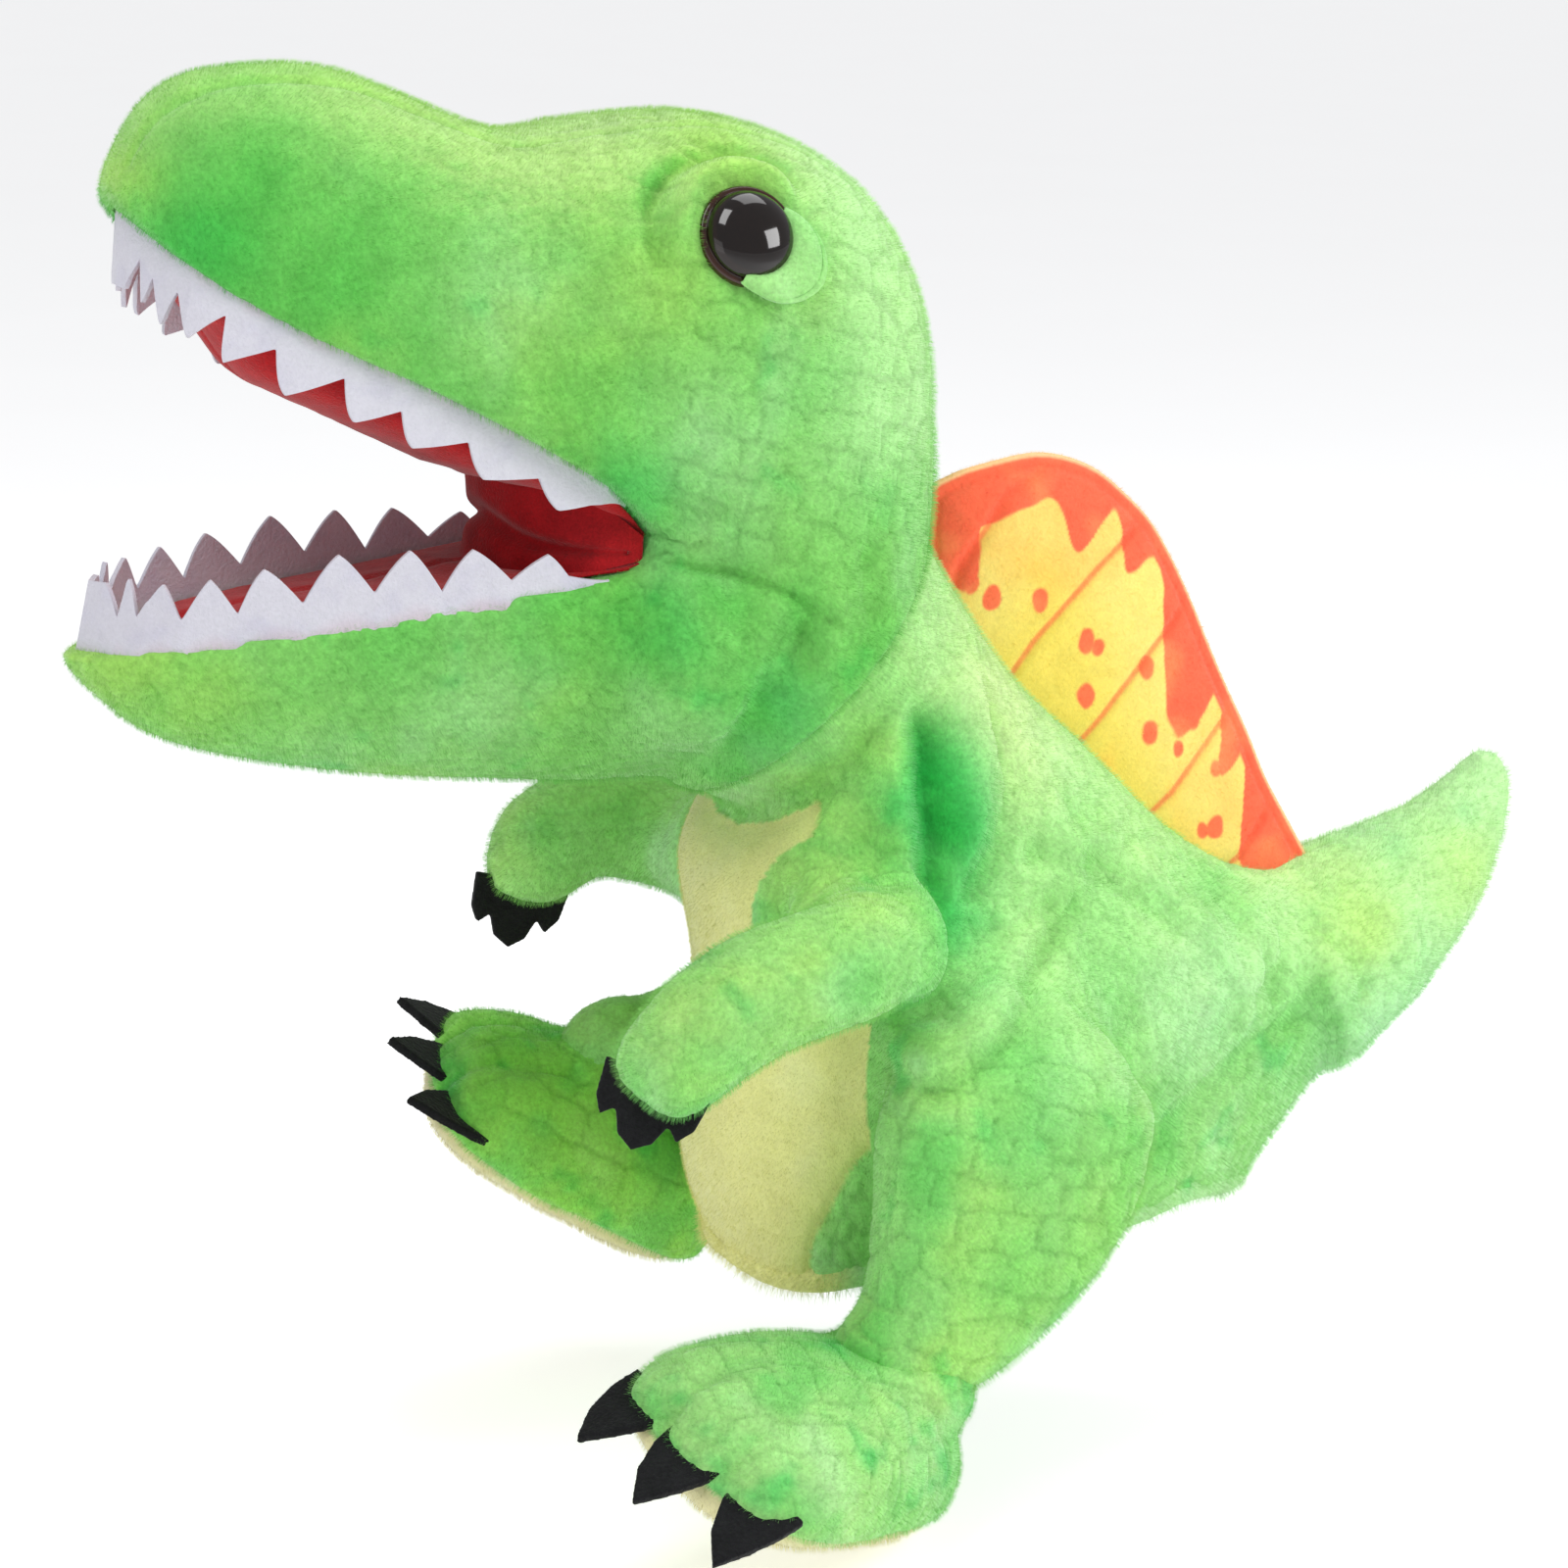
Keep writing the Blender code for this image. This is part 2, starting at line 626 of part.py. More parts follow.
# distance from the corner, jaw's depth, share of the lip's half-width, top's depth
JAW_FILL = (
    (106, 32.5, 0.42, 18.0), (97, 36.0, 0.50, 18.0), (77, 42, 0.56, 20.8),
    (54, 48.5, 0.60, 20.8), (34, 53.5, 0.62, 20.8), (20, 56.5, 0.62, 20.8),
)
JAW_FILL_INSET = 3.2        # filling inside the skin at the bottom


def build_jaw():
    rings = [Section(LOWER.point(distance, 0), X, LOWER.inward, LOWER.width(distance),
                     depth, JAW_RIM, power=JAW_POWER).ring(JAW_SIDES)
             for distance, depth in JAW]
    # the open rear section leans back at the bottom
    lean = (LOWER.inward - LOWER.along * 0.16).normalized()
    rings.append(Section(LOWER.point(2.5, 0), X, lean, LOWER.width(0),
                         62, 6, power=JAW_POWER).ring(JAW_SIDES))
    skin = add("jaw_skin", loft(rings, LOWER.point(139, 2.5)), GREEN, "jaw")
    solidify(skin, SKIN)

    opening = Matrix.Rotation(math.radians(-THROAT_TURN), 3, "X")
    throat_at = MOUTH + opening @ (NECK - MOUTH)
    throat = cutter("jaw_throat", ball(throat_at, (THROAT_R, THROAT_R, THROAT_R), 32, 24))
    cut(skin, mouth_cutter(LOWER, 60, (140, 240, 40)), throat)

    mouth_sheet("mouth_lining", LOWER, start=6, end=133, inset=3.6, level=1.4,
                thickness=CLOTH, mat=RED)
    mouth_sheet("mouth_board", LOWER, start=16, end=124, inset=6.5, level=3.2,
                thickness=BOARD_THICK, mat=BOARD)
    build_teeth(LOWER, first=14.0, tip_height=15.0, notch_height=5.5)
    build_pocket("thumb_pocket", LOWER, THUMB_POCKET)

    rings = []
    for distance, depth, squeeze, top in JAW_FILL:
        low = depth - SKIN - JAW_FILL_INSET
        half = (low - top) / 2
        rings.append(Section(LOWER.point(distance, (top + low) / 2), X, LOWER.inward,
                             LOWER.width(distance) * squeeze, half, half).ring(20))
    filling = add("jaw_stuffing", loft(rings, "flat", "flat"), FILL, "jaw")
    cut(filling, throat)


# ---- left and right ----------------------------------------------------------------
def raised(point, about, degrees):
    """A point swung forwards and up about the cross axis through another."""
    return Matrix.Rotation(math.radians(-degrees), 3, "X") @ (Vector(point) - about) + about


class Side(NamedTuple):
    """One side's pose. Limbs are laid out on the left, then raised and mirrored."""
    name: str
    sign: int
    arm: tuple            # (centre, radius) from the shoulder to the paw
    arm_tip: Vector
    hand_claw_line: Vector    # rough direction along the hand's claw strip
    leg_raise: float      # degrees about the hip
    foot_raise: float     # degrees about the ankle, on top of the leg's
    foot_yaw: float       # degrees outwards
    foot_roll: float      # degrees, outer edge down
    foot_ahead: float     # foot's middle from the ankle, towards the toes
    foot_out: float       # foot's middle from the ankle, towards the outer edge
    claw_droop: float     # degrees the toe claws point down

    def mirror(self, point):
        return Vector((self.sign * point.x, point.y, point.z))

    def leg_point(self, point):
        return self.mirror(raised(point, HIP, self.leg_raise))

    def foot_point(self, point):
        return self.leg_point(raised(point, ANKLE, self.foot_raise))

    def foot_direction(self, direction):
        degrees = -self.leg_raise - self.foot_raise
        return self.mirror(Matrix.Rotation(math.radians(degrees), 3, "X") @ direction)


LEFT = Side(
    "left", 1,
    arm=(
        ((52.2, -93, 105), 15.5), ((56.8, -93.6, 105.1), 15.2), ((61.2, -95.5, 105.2), 15.0),
        ((64.9, -98.5, 105.2), 14.9), ((67.6, -102.4, 105.0), 14.8), ((69.0, -107, 104.5), 14.8),
        ((69.4, -113.5, 103.4), 14.8), ((69.2, -125, 100.2), 14.9), ((69, -137, 94), 14.6),
        ((69, -145.5, 87.5), 13.4), ((69, -150, 83), 10.5),
    ),
    arm_tip=Vector((69, -152.5, 80)),
    hand_claw_line=Vector((0.45, 0.89, 0)),
    leg_raise=0.0, foot_raise=0.0, foot_yaw=30, foot_roll=24,
    foot_ahead=15, foot_out=1, claw_droop=40,
)
# the right arm is held higher and curls down; the right leg is drawn up in front of the body
RIGHT = Side(
    "right", -1,
    arm=(
        ((52.2, -93, 105), 15.5), ((56.8, -93.6, 105.1), 15.2), ((61.2, -95.5, 105.4), 14.9),
        ((64.9, -98.5, 106.1), 14.7), ((67.6, -102.4, 107.3), 14.5), ((69.0, -107, 108.9), 14.4),
        ((69.3, -113, 111), 14.3), ((69, -122, 112.8), 14.2), ((69, -130.5, 110.8), 13.8),
        ((69, -136.8, 105.6), 12.8), ((69, -140.3, 100), 10.0),
    ),
    arm_tip=Vector((69, -142.1, 96.4)),
    hand_claw_line=Vector((0, 1, 0)),
    leg_raise=56.0, foot_raise=-38.0, foot_yaw=4, foot_roll=-20,
    foot_ahead=-9, foot_out=-3, claw_droop=5,
)

# ---- eyes --------------------------------------------------------------------------
EYE_STATION, EYE_ANGLE = 8.45, math.radians(28)     # place on the head's surface
EYE_R, EYE_DOME = 12.0, 7.6
EYE_RIM = 0.6               # height and inward slope of the rim under the dome
EYE_LIFT = 0.6              # eye's flat back above the head's surface
DOME_STEPS = 6
STEM_R, STEM_LENGTH = 2.2, 13.0
STEM_TIP_R, STEM_TIP = 1.6, 1.0
WASHER_IN, WASHER_OUT = 2.7, 7.5        # radii
WASHER_TOP, WASHER_LOW = -5.6, -7.2     # heights along the stem
PATCH_LIFT = 0.7            # inner face of the patch above the head's surface
PATCH_ROWS, PATCH_COLUMNS = 3, 4


def eye_profile():
    profile = [(0.0, EYE_DOME)]
    for i in range(1, DOME_STEPS + 1):
        t = math.pi / 2 * (1 - i / DOME_STEPS)
        profile.append((EYE_R * math.cos(t), (EYE_DOME - EYE_RIM) * math.sin(t) + EYE_RIM))
    return profile + [(EYE_R - EYE_RIM, 0.0), (STEM_R, 0.0), (STEM_R, STEM_TIP - STEM_LENGTH),
                      (STEM_TIP_R, -STEM_LENGTH), (0.0, -STEM_LENGTH)]


def build_eye(side, head_skin, head_fill):
    normal = side.mirror(head_normal(EYE_STATION, EYE_ANGLE))
    base = side.mirror(head_point(EYE_STATION, EYE_ANGLE)) + normal * EYE_LIFT
    turned("eye_" + side.name, eye_profile(), base, normal, EYE, "head")
    washer = [(WASHER_IN, WASHER_TOP), (WASHER_IN, WASHER_LOW), (WASHER_OUT, WASHER_LOW),
              (WASHER_OUT, WASHER_TOP), (WASHER_IN, WASHER_TOP)]
    turned("eye_washer_" + side.name, washer, base, normal, WASHER, "head", flip=True)
    cut(head_skin, cutter("eye_hole_" + side.name,
                          cylinder(base - normal * 2, normal, radius=3.1, depth=12)))
    cut(head_fill, cutter("eye_room_" + side.name,
                          cylinder(base + normal * 0.2, normal, radius=9.5, depth=30)))


def build_eye_patch(side):
    """A patch on the head behind the eye, taller towards the eye."""
    rows = []
    for i in range(PATCH_ROWS + 1):
        station = EYE_STATION + 0.62 + 0.55 * i / PATCH_ROWS
        step = 4 + 5.0 * (1 - i / PATCH_ROWS)       # degrees per column
        row = []
        for j in range(PATCH_COLUMNS + 1):
            angle = EYE_ANGLE - math.radians(20 - step * j)
            row.append(side.mirror(head_point(station, angle, PATCH_LIFT)))
        rows.append(row)
    bm = sheet(rows, X * side.sign)
    solidify(add("eye_patch_" + side.name, bm, GREEN, "head"), CLOTH, 1.0)


# ---- arms --------------------------------------------------------------------------
# three joined claws: (along the strip, away from the paw)
HAND_CLAWS = ((-13, 0), (-12, 9), (-9.5, 13), (-6.5, 10), (-4, 15.5), (0.5, 18),
              (4.5, 15), (6.5, 9.5), (9.5, 12.5), (12.5, 8.5), (13.5, 0))
HAND_CLAW_GAP = 0.8         # strip beyond the arm's tip


def arm_rings(side, stations, count, inset=0.0):
    centres = [Vector(centre) for centre, _ in stations]
    rings = []
    for i, (_, radius) in enumerate(stations):
        along = X
        if i > 0:
            along = (centres[min(i + 1, len(centres) - 1)] - centres[i - 1]).normalized()
        up = (Z - along * along.z).normalized()
        section = round_section(centres[i], up, radius, side=along.cross(up))
        rings.append([side.mirror(p) for p in section.ring(count, inset)])
    return rings


def build_arm(side):
    on = "arm_" + side.name
    joint(on, side.mirror(SHOULDER), "body")
    tip = side.arm_tip
    last = Vector(side.arm[-1][0])
    bm = loft(arm_rings(side, side.arm, 16), None, side.mirror(tip))
    solidify(add("arm_skin_" + side.name, bm, GREEN, on), SKIN)
    fill_tip = last - (tip - last) * 0.3
    rings = arm_rings(side, side.arm[:-1], 14, SKIN + 2.2)
    add("arm_stuffing_" + side.name, loft(rings, "flat", side.mirror(fill_tip)), FILL, on)

    # the claws are cut from one strip of felt, on the end of the paw
    end_dir = (tip - last).normalized()
    start = side.mirror(tip + end_dir * HAND_CLAW_GAP)
    away = side.mirror((end_dir * 0.75 - Z * 0.5).normalized())
    line = side.hand_claw_line
    line = (line - away * line.dot(away)).normalized()
    flat_shape("hand_claws_" + side.name, HAND_CLAWS, CLAW_FELT, BLACK, on,
               frame(from_joint(start, on), line, away, line.cross(away)))


# ---- legs --------------------------------------------------------------------------
# centre, half-width, half-depth, forward tilt of the section in degrees
LEG = (
    ((60, -60, 86), 7, 12, 0), ((61, -60, 82), 12, 21, 0), ((63, -58, 72), 16, 31, 4),
    ((64, -58, 56), 18, 35.5, 8), ((64.5, -61, 40), 18, 34, 14), ((65.5, -68, 26), 16.5, 29, 22),
    ((66.5, -77, 15), 15, 23, 32), ((67, -84, 8), 13.6, 19, 40),
)
LEG_TOP = Vector((60, -60, 87.5))
LEG_SIDES = 20
LEG_INNER_X = 51.6          # the leg's skin is cut flat here against the body
LEG_FILL_INNER_X = 52.4
ANKLE_DOWN = Vector((0, -0.64, -0.768))     # axis of the ankle ball's end
ANKLE_UP = Vector((0, 0.768, -0.64))        # square to it
ANKLE_ANGLES = (20, 45, 68)


def leg_rings(inset):
    rings = []
    for centre, half_width, half_depth, tilt in LEG:
        up = Matrix.Rotation(math.radians(-tilt), 3, "X") @ Y
        rings.append(Section(Vector(centre), X, up, half_width, half_depth, half_depth,
                             power=2.2).ring(LEG_SIDES, inset))
    return rings


def ankle_rings(inset):
    """The lower end of the leg is part of the ankle ball."""
    rings = []
    for degrees in ANKLE_ANGLES:
        t = math.radians(degrees)
        radius = (ANKLE_R - inset) * math.cos(t)
        centre = ANKLE + ANKLE_DOWN * (ANKLE_R - inset) * math.sin(t)
        rings.append(Section(centre, X, ANKLE_UP, (ANKLE_X - inset) * math.cos(t),
                             radius, radius).ring(LEG_SIDES))
    return rings, ANKLE + ANKLE_DOWN * (ANKLE_R - inset)


def inner_cutter(name, x, side):
    """A box that takes away everything nearer the middle plane than x."""
    centre = Vector((side.sign * (x - 30), -90, 60))
    return cutter(f"{name}_{side.name}", box((60, 300, 300), Matrix.Translation(centre)))


def build_leg(side):
    on = "leg_" + side.name
    joint(on, side.mirror(HIP), "body")

    def posed_loft(rings, start, end):
        return loft([[side.leg_point(p) for p in ring] for ring in rings],
                    start, side.leg_point(end))

    ends, tip = ankle_rings(0.0)
    bm = posed_loft(leg_rings(0.0) + ends, side.leg_point(LEG_TOP), tip)
    skin = solidify(add("leg_skin_" + side.name, bm, GREEN, on), SKIN)
    cut(skin, inner_cutter("limb", LEG_INNER_X, side))

    ends, tip = ankle_rings(SKIN + 2.5)
    bm = posed_loft(leg_rings(SKIN + 3.5)[2:] + ends, "flat", tip)
    filling = add("leg_stuffing_" + side.name, bm, FILL, on)
    cut(filling, inner_cutter("limb_fill", LEG_FILL_INNER_X, side))


# ---- feet --------------------------------------------------------------------------
# distance ahead of the foot's middle, half-width, reach up, reach down
FOOT = (
    (-36, 17, 13, 8), (-27, 24, 21, 11), (-12, 28, 26, 13), (6, 30.5, 26.5, 13.5),
    (24, 31.5, 23.5, 13.5), (38, 30, 18.5, 12.5), (47, 24.5, 12.5, 10),
)
FOOT_HEEL, FOOT_NOSE = -40, 52
FOOT_FILL_HEEL, FOOT_FILL_NOSE = -31.5, 43
FOOT_DROP = 27              # foot's middle below the ankle
FOOT_PITCH = 17             # degrees, toes up
SOLE_LEVEL = -5.0           # seam between upper and sole, from the foot's middle
SOLE_BOX = (120, 160, 60)   # cutters above and below the seam
CUP_PLAY = 1.6              # cup round the ankle ball
SHIN = Vector((66.5, -75, 20))
SHIN_ROOM = (21, 35, 33)    # radii of the room for the shin
# a toe claw: (across, ahead)
TOE_CLAW = ((-9.5, 0), (-8.5, 8), (-5, 16), (1.5, 23), (5.5, 14), (8.0, 7), (9.5, 0))
# sideways and ahead from the foot's middle, fan in degrees
TOE_CLAW_PLACES = ((-20.5, 49.2, -12), (0, 53.2, 0), (20.5, 49.2, 12))
TOE_CLAW_LOWER = 1.0        # claw's root below the foot's middle


class Foot:
    """The foot's axes and middle, before the leg is raised and mirrored."""

    def __init__(self, side):
        self.side = side
        yaw, roll = math.radians(side.foot_yaw), math.radians(side.foot_roll)
        pitch = math.radians(FOOT_PITCH)
        level_toe = Vector((math.sin(yaw), -math.cos(yaw), 0))
        self.toe = level_toe * math.cos(pitch) + Z * math.sin(pitch)
        wide = Vector((math.cos(yaw), math.sin(yaw), 0))
        wide = (wide * math.cos(roll) - Z * math.sin(roll)).normalized()
        self.wide = (wide - self.toe * wide.dot(self.toe)).normalized()
        self.top = self.toe.cross(self.wide)
        self.middle = (ANKLE - self.top * FOOT_DROP + self.toe * side.foot_ahead
                       + self.wide * side.foot_out)

    def along(self, distance):
        """The posed point a distance ahead of the middle."""
        return self.side.foot_point(self.middle + self.toe * distance)

    def loft(self, rows, heel, nose, inset=0.0):
        rings = []
        for ahead, half_width, rise, drop in rows:
            section = Section(self.middle + self.toe * ahead, self.wide, self.top,
                              half_width, rise, drop, power=2.15)
            rings.append([self.side.foot_point(p) for p in section.ring(20, inset)])
        return loft(rings, self.along(heel), self.along(nose))

    def sole_cutter(self, name, level):
        """A box whose middle lies at a level along the foot's upward axis."""
        wide, toe, top = (self.side.foot_direction(v) for v in (self.wide, self.toe, self.top))
        matrix = frame(self.along(6) + top * level, wide, toe, top)
        return cutter(f"{name}_{self.side.name}", box(SOLE_BOX, matrix))


def build_foot(side):
    on = "foot_" + side.name
    ankle = side.leg_point(ANKLE)
    joint(on, ankle, "leg_" + side.name)
    foot = Foot(side)

    cup_radii = (ANKLE_X + CUP_PLAY, ANKLE_R + CUP_PLAY, ANKLE_R + CUP_PLAY)
    cup = cutter("ankle_cup_" + side.name, ball(ankle, cup_radii, 20, 14))
    shin_room = cutter("shin_room_" + side.name, ball(side.leg_point(SHIN), SHIN_ROOM, 20, 14))
    # only the drawn-up right foot is cut for the shin
    rooms = (cup, shin_room) if side is RIGHT else (cup,)
    half_box = SOLE_BOX[2] / 2
    below = foot.sole_cutter("below_sole", SOLE_LEVEL - half_box)
    above = foot.sole_cutter("above_sole", SOLE_LEVEL - GAP + half_box)

    bm = foot.loft(FOOT, FOOT_HEEL, FOOT_NOSE)
    cut(solidify(add("foot_upper_" + side.name, bm, GREEN, on), SKIN), below, *rooms)
    bm = foot.loft(FOOT, FOOT_HEEL, FOOT_NOSE)
    cut(solidify(add("foot_sole_" + side.name, bm, CREAM, on), SKIN), above)
    bm = foot.loft(FOOT[1:-1], FOOT_FILL_HEEL, FOOT_FILL_NOSE, SKIN + 4.8)
    cut(add("foot_stuffing_" + side.name, bm, FILL, on), *rooms)
    build_toe_claws(foot, on)


def build_toe_claws(foot, on):
    """Three felt claws, side by side on the toes."""
    side, toe, wide, top = foot.side, foot.toe, foot.wide, foot.top
    droop = math.radians(side.claw_droop)
    for number, (sideways, ahead, fan) in enumerate(TOE_CLAW_PLACES, 1):
        fan = math.radians(fan)
        level = toe * math.cos(fan) + wide * math.sin(fan)
        forward = side.foot_direction(level * math.cos(droop) - top * math.sin(droop))
        across = side.foot_direction(wide * math.cos(fan) - toe * math.sin(fan)) * side.sign
        root = side.foot_point(foot.middle + wide * sideways + toe * ahead - top * TOE_CLAW_LOWER)
        flat_shape(f"toe_claw_{side.name}_{number}", TOE_CLAW, CLAW_FELT, BLACK, on,
                   frame(from_joint(root, on), across, forward, across.cross(forward)))


# ---- tail --------------------------------------------------------------------------
# distance along the root's direction, lift from it, radius, tilt in degrees
TAIL_LINE = (
    (9.5, 0, 26.8, 26), (19, 0, 25.0, 27), (31, 1.0, 21.8, 31), (42, 3.0, 18.2, 37),
    (52, 6.5, 14.6, 43), (61, 11.5, 11.0, 48), (68, 17, 7.2, 52),
)
TAIL_NARROW = 0.95          # width against height beyond the root
TAIL_ROOT_END = 20          # distance up to which the tail is round


def tail_point(distance, lift):
    return TAIL + TAIL_DIR * distance + Vector((0, -TAIL_DIR.z, TAIL_DIR.y)) * lift


def tail_rings(rows, inset=0.0):
    rings = []
    for distance, lift, radius, tilt in rows:
        tilt = math.radians(tilt)
        half_width = radius * TAIL_NARROW if distance > TAIL_ROOT_END else radius
        rings.append(Section(tail_point(distance, lift), X,
                             Vector((0, -math.sin(tilt), math.cos(tilt))),
                             half_width, radius, radius).ring(20, inset))
    return rings


def build_tail():
    bm = loft(tail_rings(TAIL_LINE), None, tail_point(72.5, 21.5))
    solidify(add("tail_skin", bm, GREEN, "tail"), SKIN)
    bm = loft(tail_rings(TAIL_LINE[2:-1], SKIN + 1.0), "flat", tail_point(69, 18))
    add("tail_stuffing", bm, FILL, "tail")


# ---- the puppet --------------------------------------------------------------------
joint("body", (0, 0, 0))
joint("sail", SAIL_FRONT, "body")
joint("neck", NECK, "body")
joint("head", NECK, "neck")
joint("jaw", MOUTH, "head")
joint("tail", TAIL, "body")

build_body_skin()
build_hand_sleeve()
build_hem()
build_belly()
build_sail()
build_neck_sleeve()
skin_of_head, filling_of_head = build_head()
build_jaw()
for each_side in (LEFT, RIGHT):
    build_eye(each_side, skin_of_head, filling_of_head)
    build_eye_patch(each_side)
    build_arm(each_side)
    build_leg(each_side)
    build_foot(each_side)
build_tail()

# everything hangs on the body's empty except the cutters, which move with it
for root in bpy.data.objects:
    if root.parent is None:
        root.location = root.location - Vector((0, HEM_REAR_Y, HEM_Z)) * MM
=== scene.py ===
"""A plush hand puppet with a moving mouth, toothed jaws and a sail along its back.

Its snout points to -Y, its tail to +Y, its own left is +X and +Z is up. Shapes are worked out
in millimetres and moved into the frame, in metres, as each mesh is made.
"""
import math
from collections import namedtuple
from itertools import product

import bmesh
import bpy
import numpy as np
from mathutils import Matrix, Vector
from mathutils.bvhtree import BVHTree


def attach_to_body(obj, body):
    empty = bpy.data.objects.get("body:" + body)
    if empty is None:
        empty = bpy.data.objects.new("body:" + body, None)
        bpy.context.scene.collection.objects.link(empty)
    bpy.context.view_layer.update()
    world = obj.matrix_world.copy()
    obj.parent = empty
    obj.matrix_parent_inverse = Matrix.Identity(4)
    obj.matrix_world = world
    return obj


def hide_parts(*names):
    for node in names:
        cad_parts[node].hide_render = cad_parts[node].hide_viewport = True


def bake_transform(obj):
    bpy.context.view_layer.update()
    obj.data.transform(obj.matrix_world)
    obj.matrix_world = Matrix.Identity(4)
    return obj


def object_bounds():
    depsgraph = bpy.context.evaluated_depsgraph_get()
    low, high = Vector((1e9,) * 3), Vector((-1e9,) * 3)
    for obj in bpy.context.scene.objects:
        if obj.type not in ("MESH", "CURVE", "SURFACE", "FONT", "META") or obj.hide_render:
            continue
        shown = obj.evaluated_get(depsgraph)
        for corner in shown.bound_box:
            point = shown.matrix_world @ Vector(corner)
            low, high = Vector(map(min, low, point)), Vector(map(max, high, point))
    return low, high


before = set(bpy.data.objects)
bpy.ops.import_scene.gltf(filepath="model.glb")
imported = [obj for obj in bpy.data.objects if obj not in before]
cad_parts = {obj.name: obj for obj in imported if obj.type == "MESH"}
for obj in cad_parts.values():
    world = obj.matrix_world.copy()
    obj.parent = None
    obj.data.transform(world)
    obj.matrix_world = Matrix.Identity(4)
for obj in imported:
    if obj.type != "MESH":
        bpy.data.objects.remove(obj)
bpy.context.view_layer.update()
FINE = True
MM = 0.001
SIDES = (("left", 1), ("right", -1))


def vec(*values):
    return np.array(values, float)


def unit(vector):
    return np.asarray(vector, float) / np.linalg.norm(vector)


ORIGIN = vec(0, 34.4, 13.0)          # the frame's origin, in the millimetres used here


def to_frame(point):
    """Millimetres here to metres in the frame."""
    return tuple(float(v) for v in (np.asarray(point, float) - ORIGIN) * MM)


# ==== dimensions shared with the frame, in millimetres ================================
X, Y, Z = vec(1, 0, 0), vec(0, 1, 0), vec(0, 0, 1)
NECK = vec(0, -90, 167)
NECK_DOWN = unit((0, 0.73, -0.683))
NECK_FRONT = unit((0, -0.683, -0.73))
NECK_RADIUS = 41.8
MOUTH = vec(0, -135, 198.5)          # the mouth's corner, where the jaws meet
SHOULDER = vec(51, -93, 105)
HIP = vec(51, -62, 46)
ANKLE = vec(67, -88, 4)
TAIL, TAIL_DIR = vec(0, 56, 73), unit((0, 0.90, 0.436))
TAIL_LIFT = vec(0, -TAIL_DIR[2], TAIL_DIR[1])
JAW_CUT = unit((0, -0.86, -0.51))    # square to the cut between head and jaw

# joints: the two bodies, and where the blend from one to the other starts and ends
JAW_JOINT = ("head", "jaw", to_frame(MOUTH), to_frame(MOUTH + JAW_CUT * 30))
TAIL_JOINT = ("torso", "tail", to_frame(TAIL + TAIL_DIR * 4), to_frame(TAIL + TAIL_DIR * 24))


def limb_joint(limb, side, sign):
    root, start, end = {"arm": (SHOULDER, 50.5, 66), "leg": (HIP, 51, 64)}[limb]
    ends = [to_frame((sign * x, root[1], root[2])) for x in (start, end)]
    return ("torso", f"{limb}_{side}", *ends)


# ==== noise and soft steps ============================================================
_rng = np.random.RandomState(11)
PERM = np.concatenate([_rng.permutation(256)] * 2)
GRAD = _rng.normal(size=(256, 3))
GRAD /= np.linalg.norm(GRAD, axis=1)[:, None]


def hash_cell(cell):
    x, y, z = (cell & 255).T
    return PERM[PERM[PERM[x] + y] + z]


def perlin(points, size, seed=0):
    """Gradient noise about zero, with features of the given size."""
    spots = np.asarray(points, float) / size + seed * 17.31
    cell = np.floor(spots).astype(int)
    part = spots - cell
    ease = part * part * part * (part * (part * 6 - 15) + 10)
    out = np.zeros(len(spots))
    for corner in product((0, 1), repeat=3):
        slope = ((part - corner) * GRAD[hash_cell(cell + corner)]).sum(1)
        out += np.where(corner, ease, 1 - ease).prod(1) * slope
    return out * 1.6


def fbm(points, size, seed=0, octaves=3):
    """Perlin noise with finer octaves laid over it."""
    out, strength = 0.0, 1.0
    for k in range(octaves):
        out = out + strength * perlin(points, size / 2 ** k, seed + k * 3)
        strength *= 0.5
    return out / 1.75


def cell_edge(points, size, jitter, power, seed):
    """Distance in millimetres from the border between cells of a loose lattice."""
    spots = points / size
    base = np.floor(spots).astype(int)
    near = np.full(len(spots), 1e9)
    second = near.copy()
    for step in product((-1, 0, 1), repeat=3):
        cell = base + step
        key = hash_cell(cell + (seed, 0, 0))
        keys = np.stack([key, PERM[(key + 71) & 255], PERM[(key + 143) & 255]], 1)
        heart = cell + 0.5 + (keys / 255.0 - 0.5) * jitter
        heart[:, 1] += np.where(cell[:, 2] & 1, 0.25, -0.25)
        gap = (np.abs((heart - spots) * size) ** power).sum(1) ** (1 / power)
        second = np.minimum(second, np.maximum(near, gap))
        near = np.minimum(near, gap)
    return second - near


def ramp(value, low, high):
    """0 below low, 1 above high, smooth between."""
    t = np.clip((value - low) / (high - low), 0, 1)
    return t * t * (3 - 2 * t)


def fade(value, low, high):
    """1 below low, 0 above high, smooth between."""
    return ramp(-value, -high, -low)


def bell(value, width):
    return np.exp(-(value / width) ** 2)


def patches(points, size, seed, low, high):
    """Soft-edged patches of noise, 0 to 1."""
    return ramp(fbm(points, size, seed), low, high)


def distance(points, centre):
    return np.linalg.norm(points - centre, axis=1)


def table_at(rows, value):
    """A (position, value) table read at any position."""
    table = np.array(rows, float)
    return np.interp(value, table[:, 0], table[:, 1])


def turn_x(degrees):
    """Matrix of a turn about +X, from +Y toward +Z."""
    cos, sin = math.cos(math.radians(degrees)), math.sin(math.radians(degrees))
    return np.array(((1, 0, 0), (0, cos, -sin), (0, sin, cos)))


def put(target, **values):
    """Sets several attributes, in order."""
    for name, value in values.items():
        setattr(target, name, value)


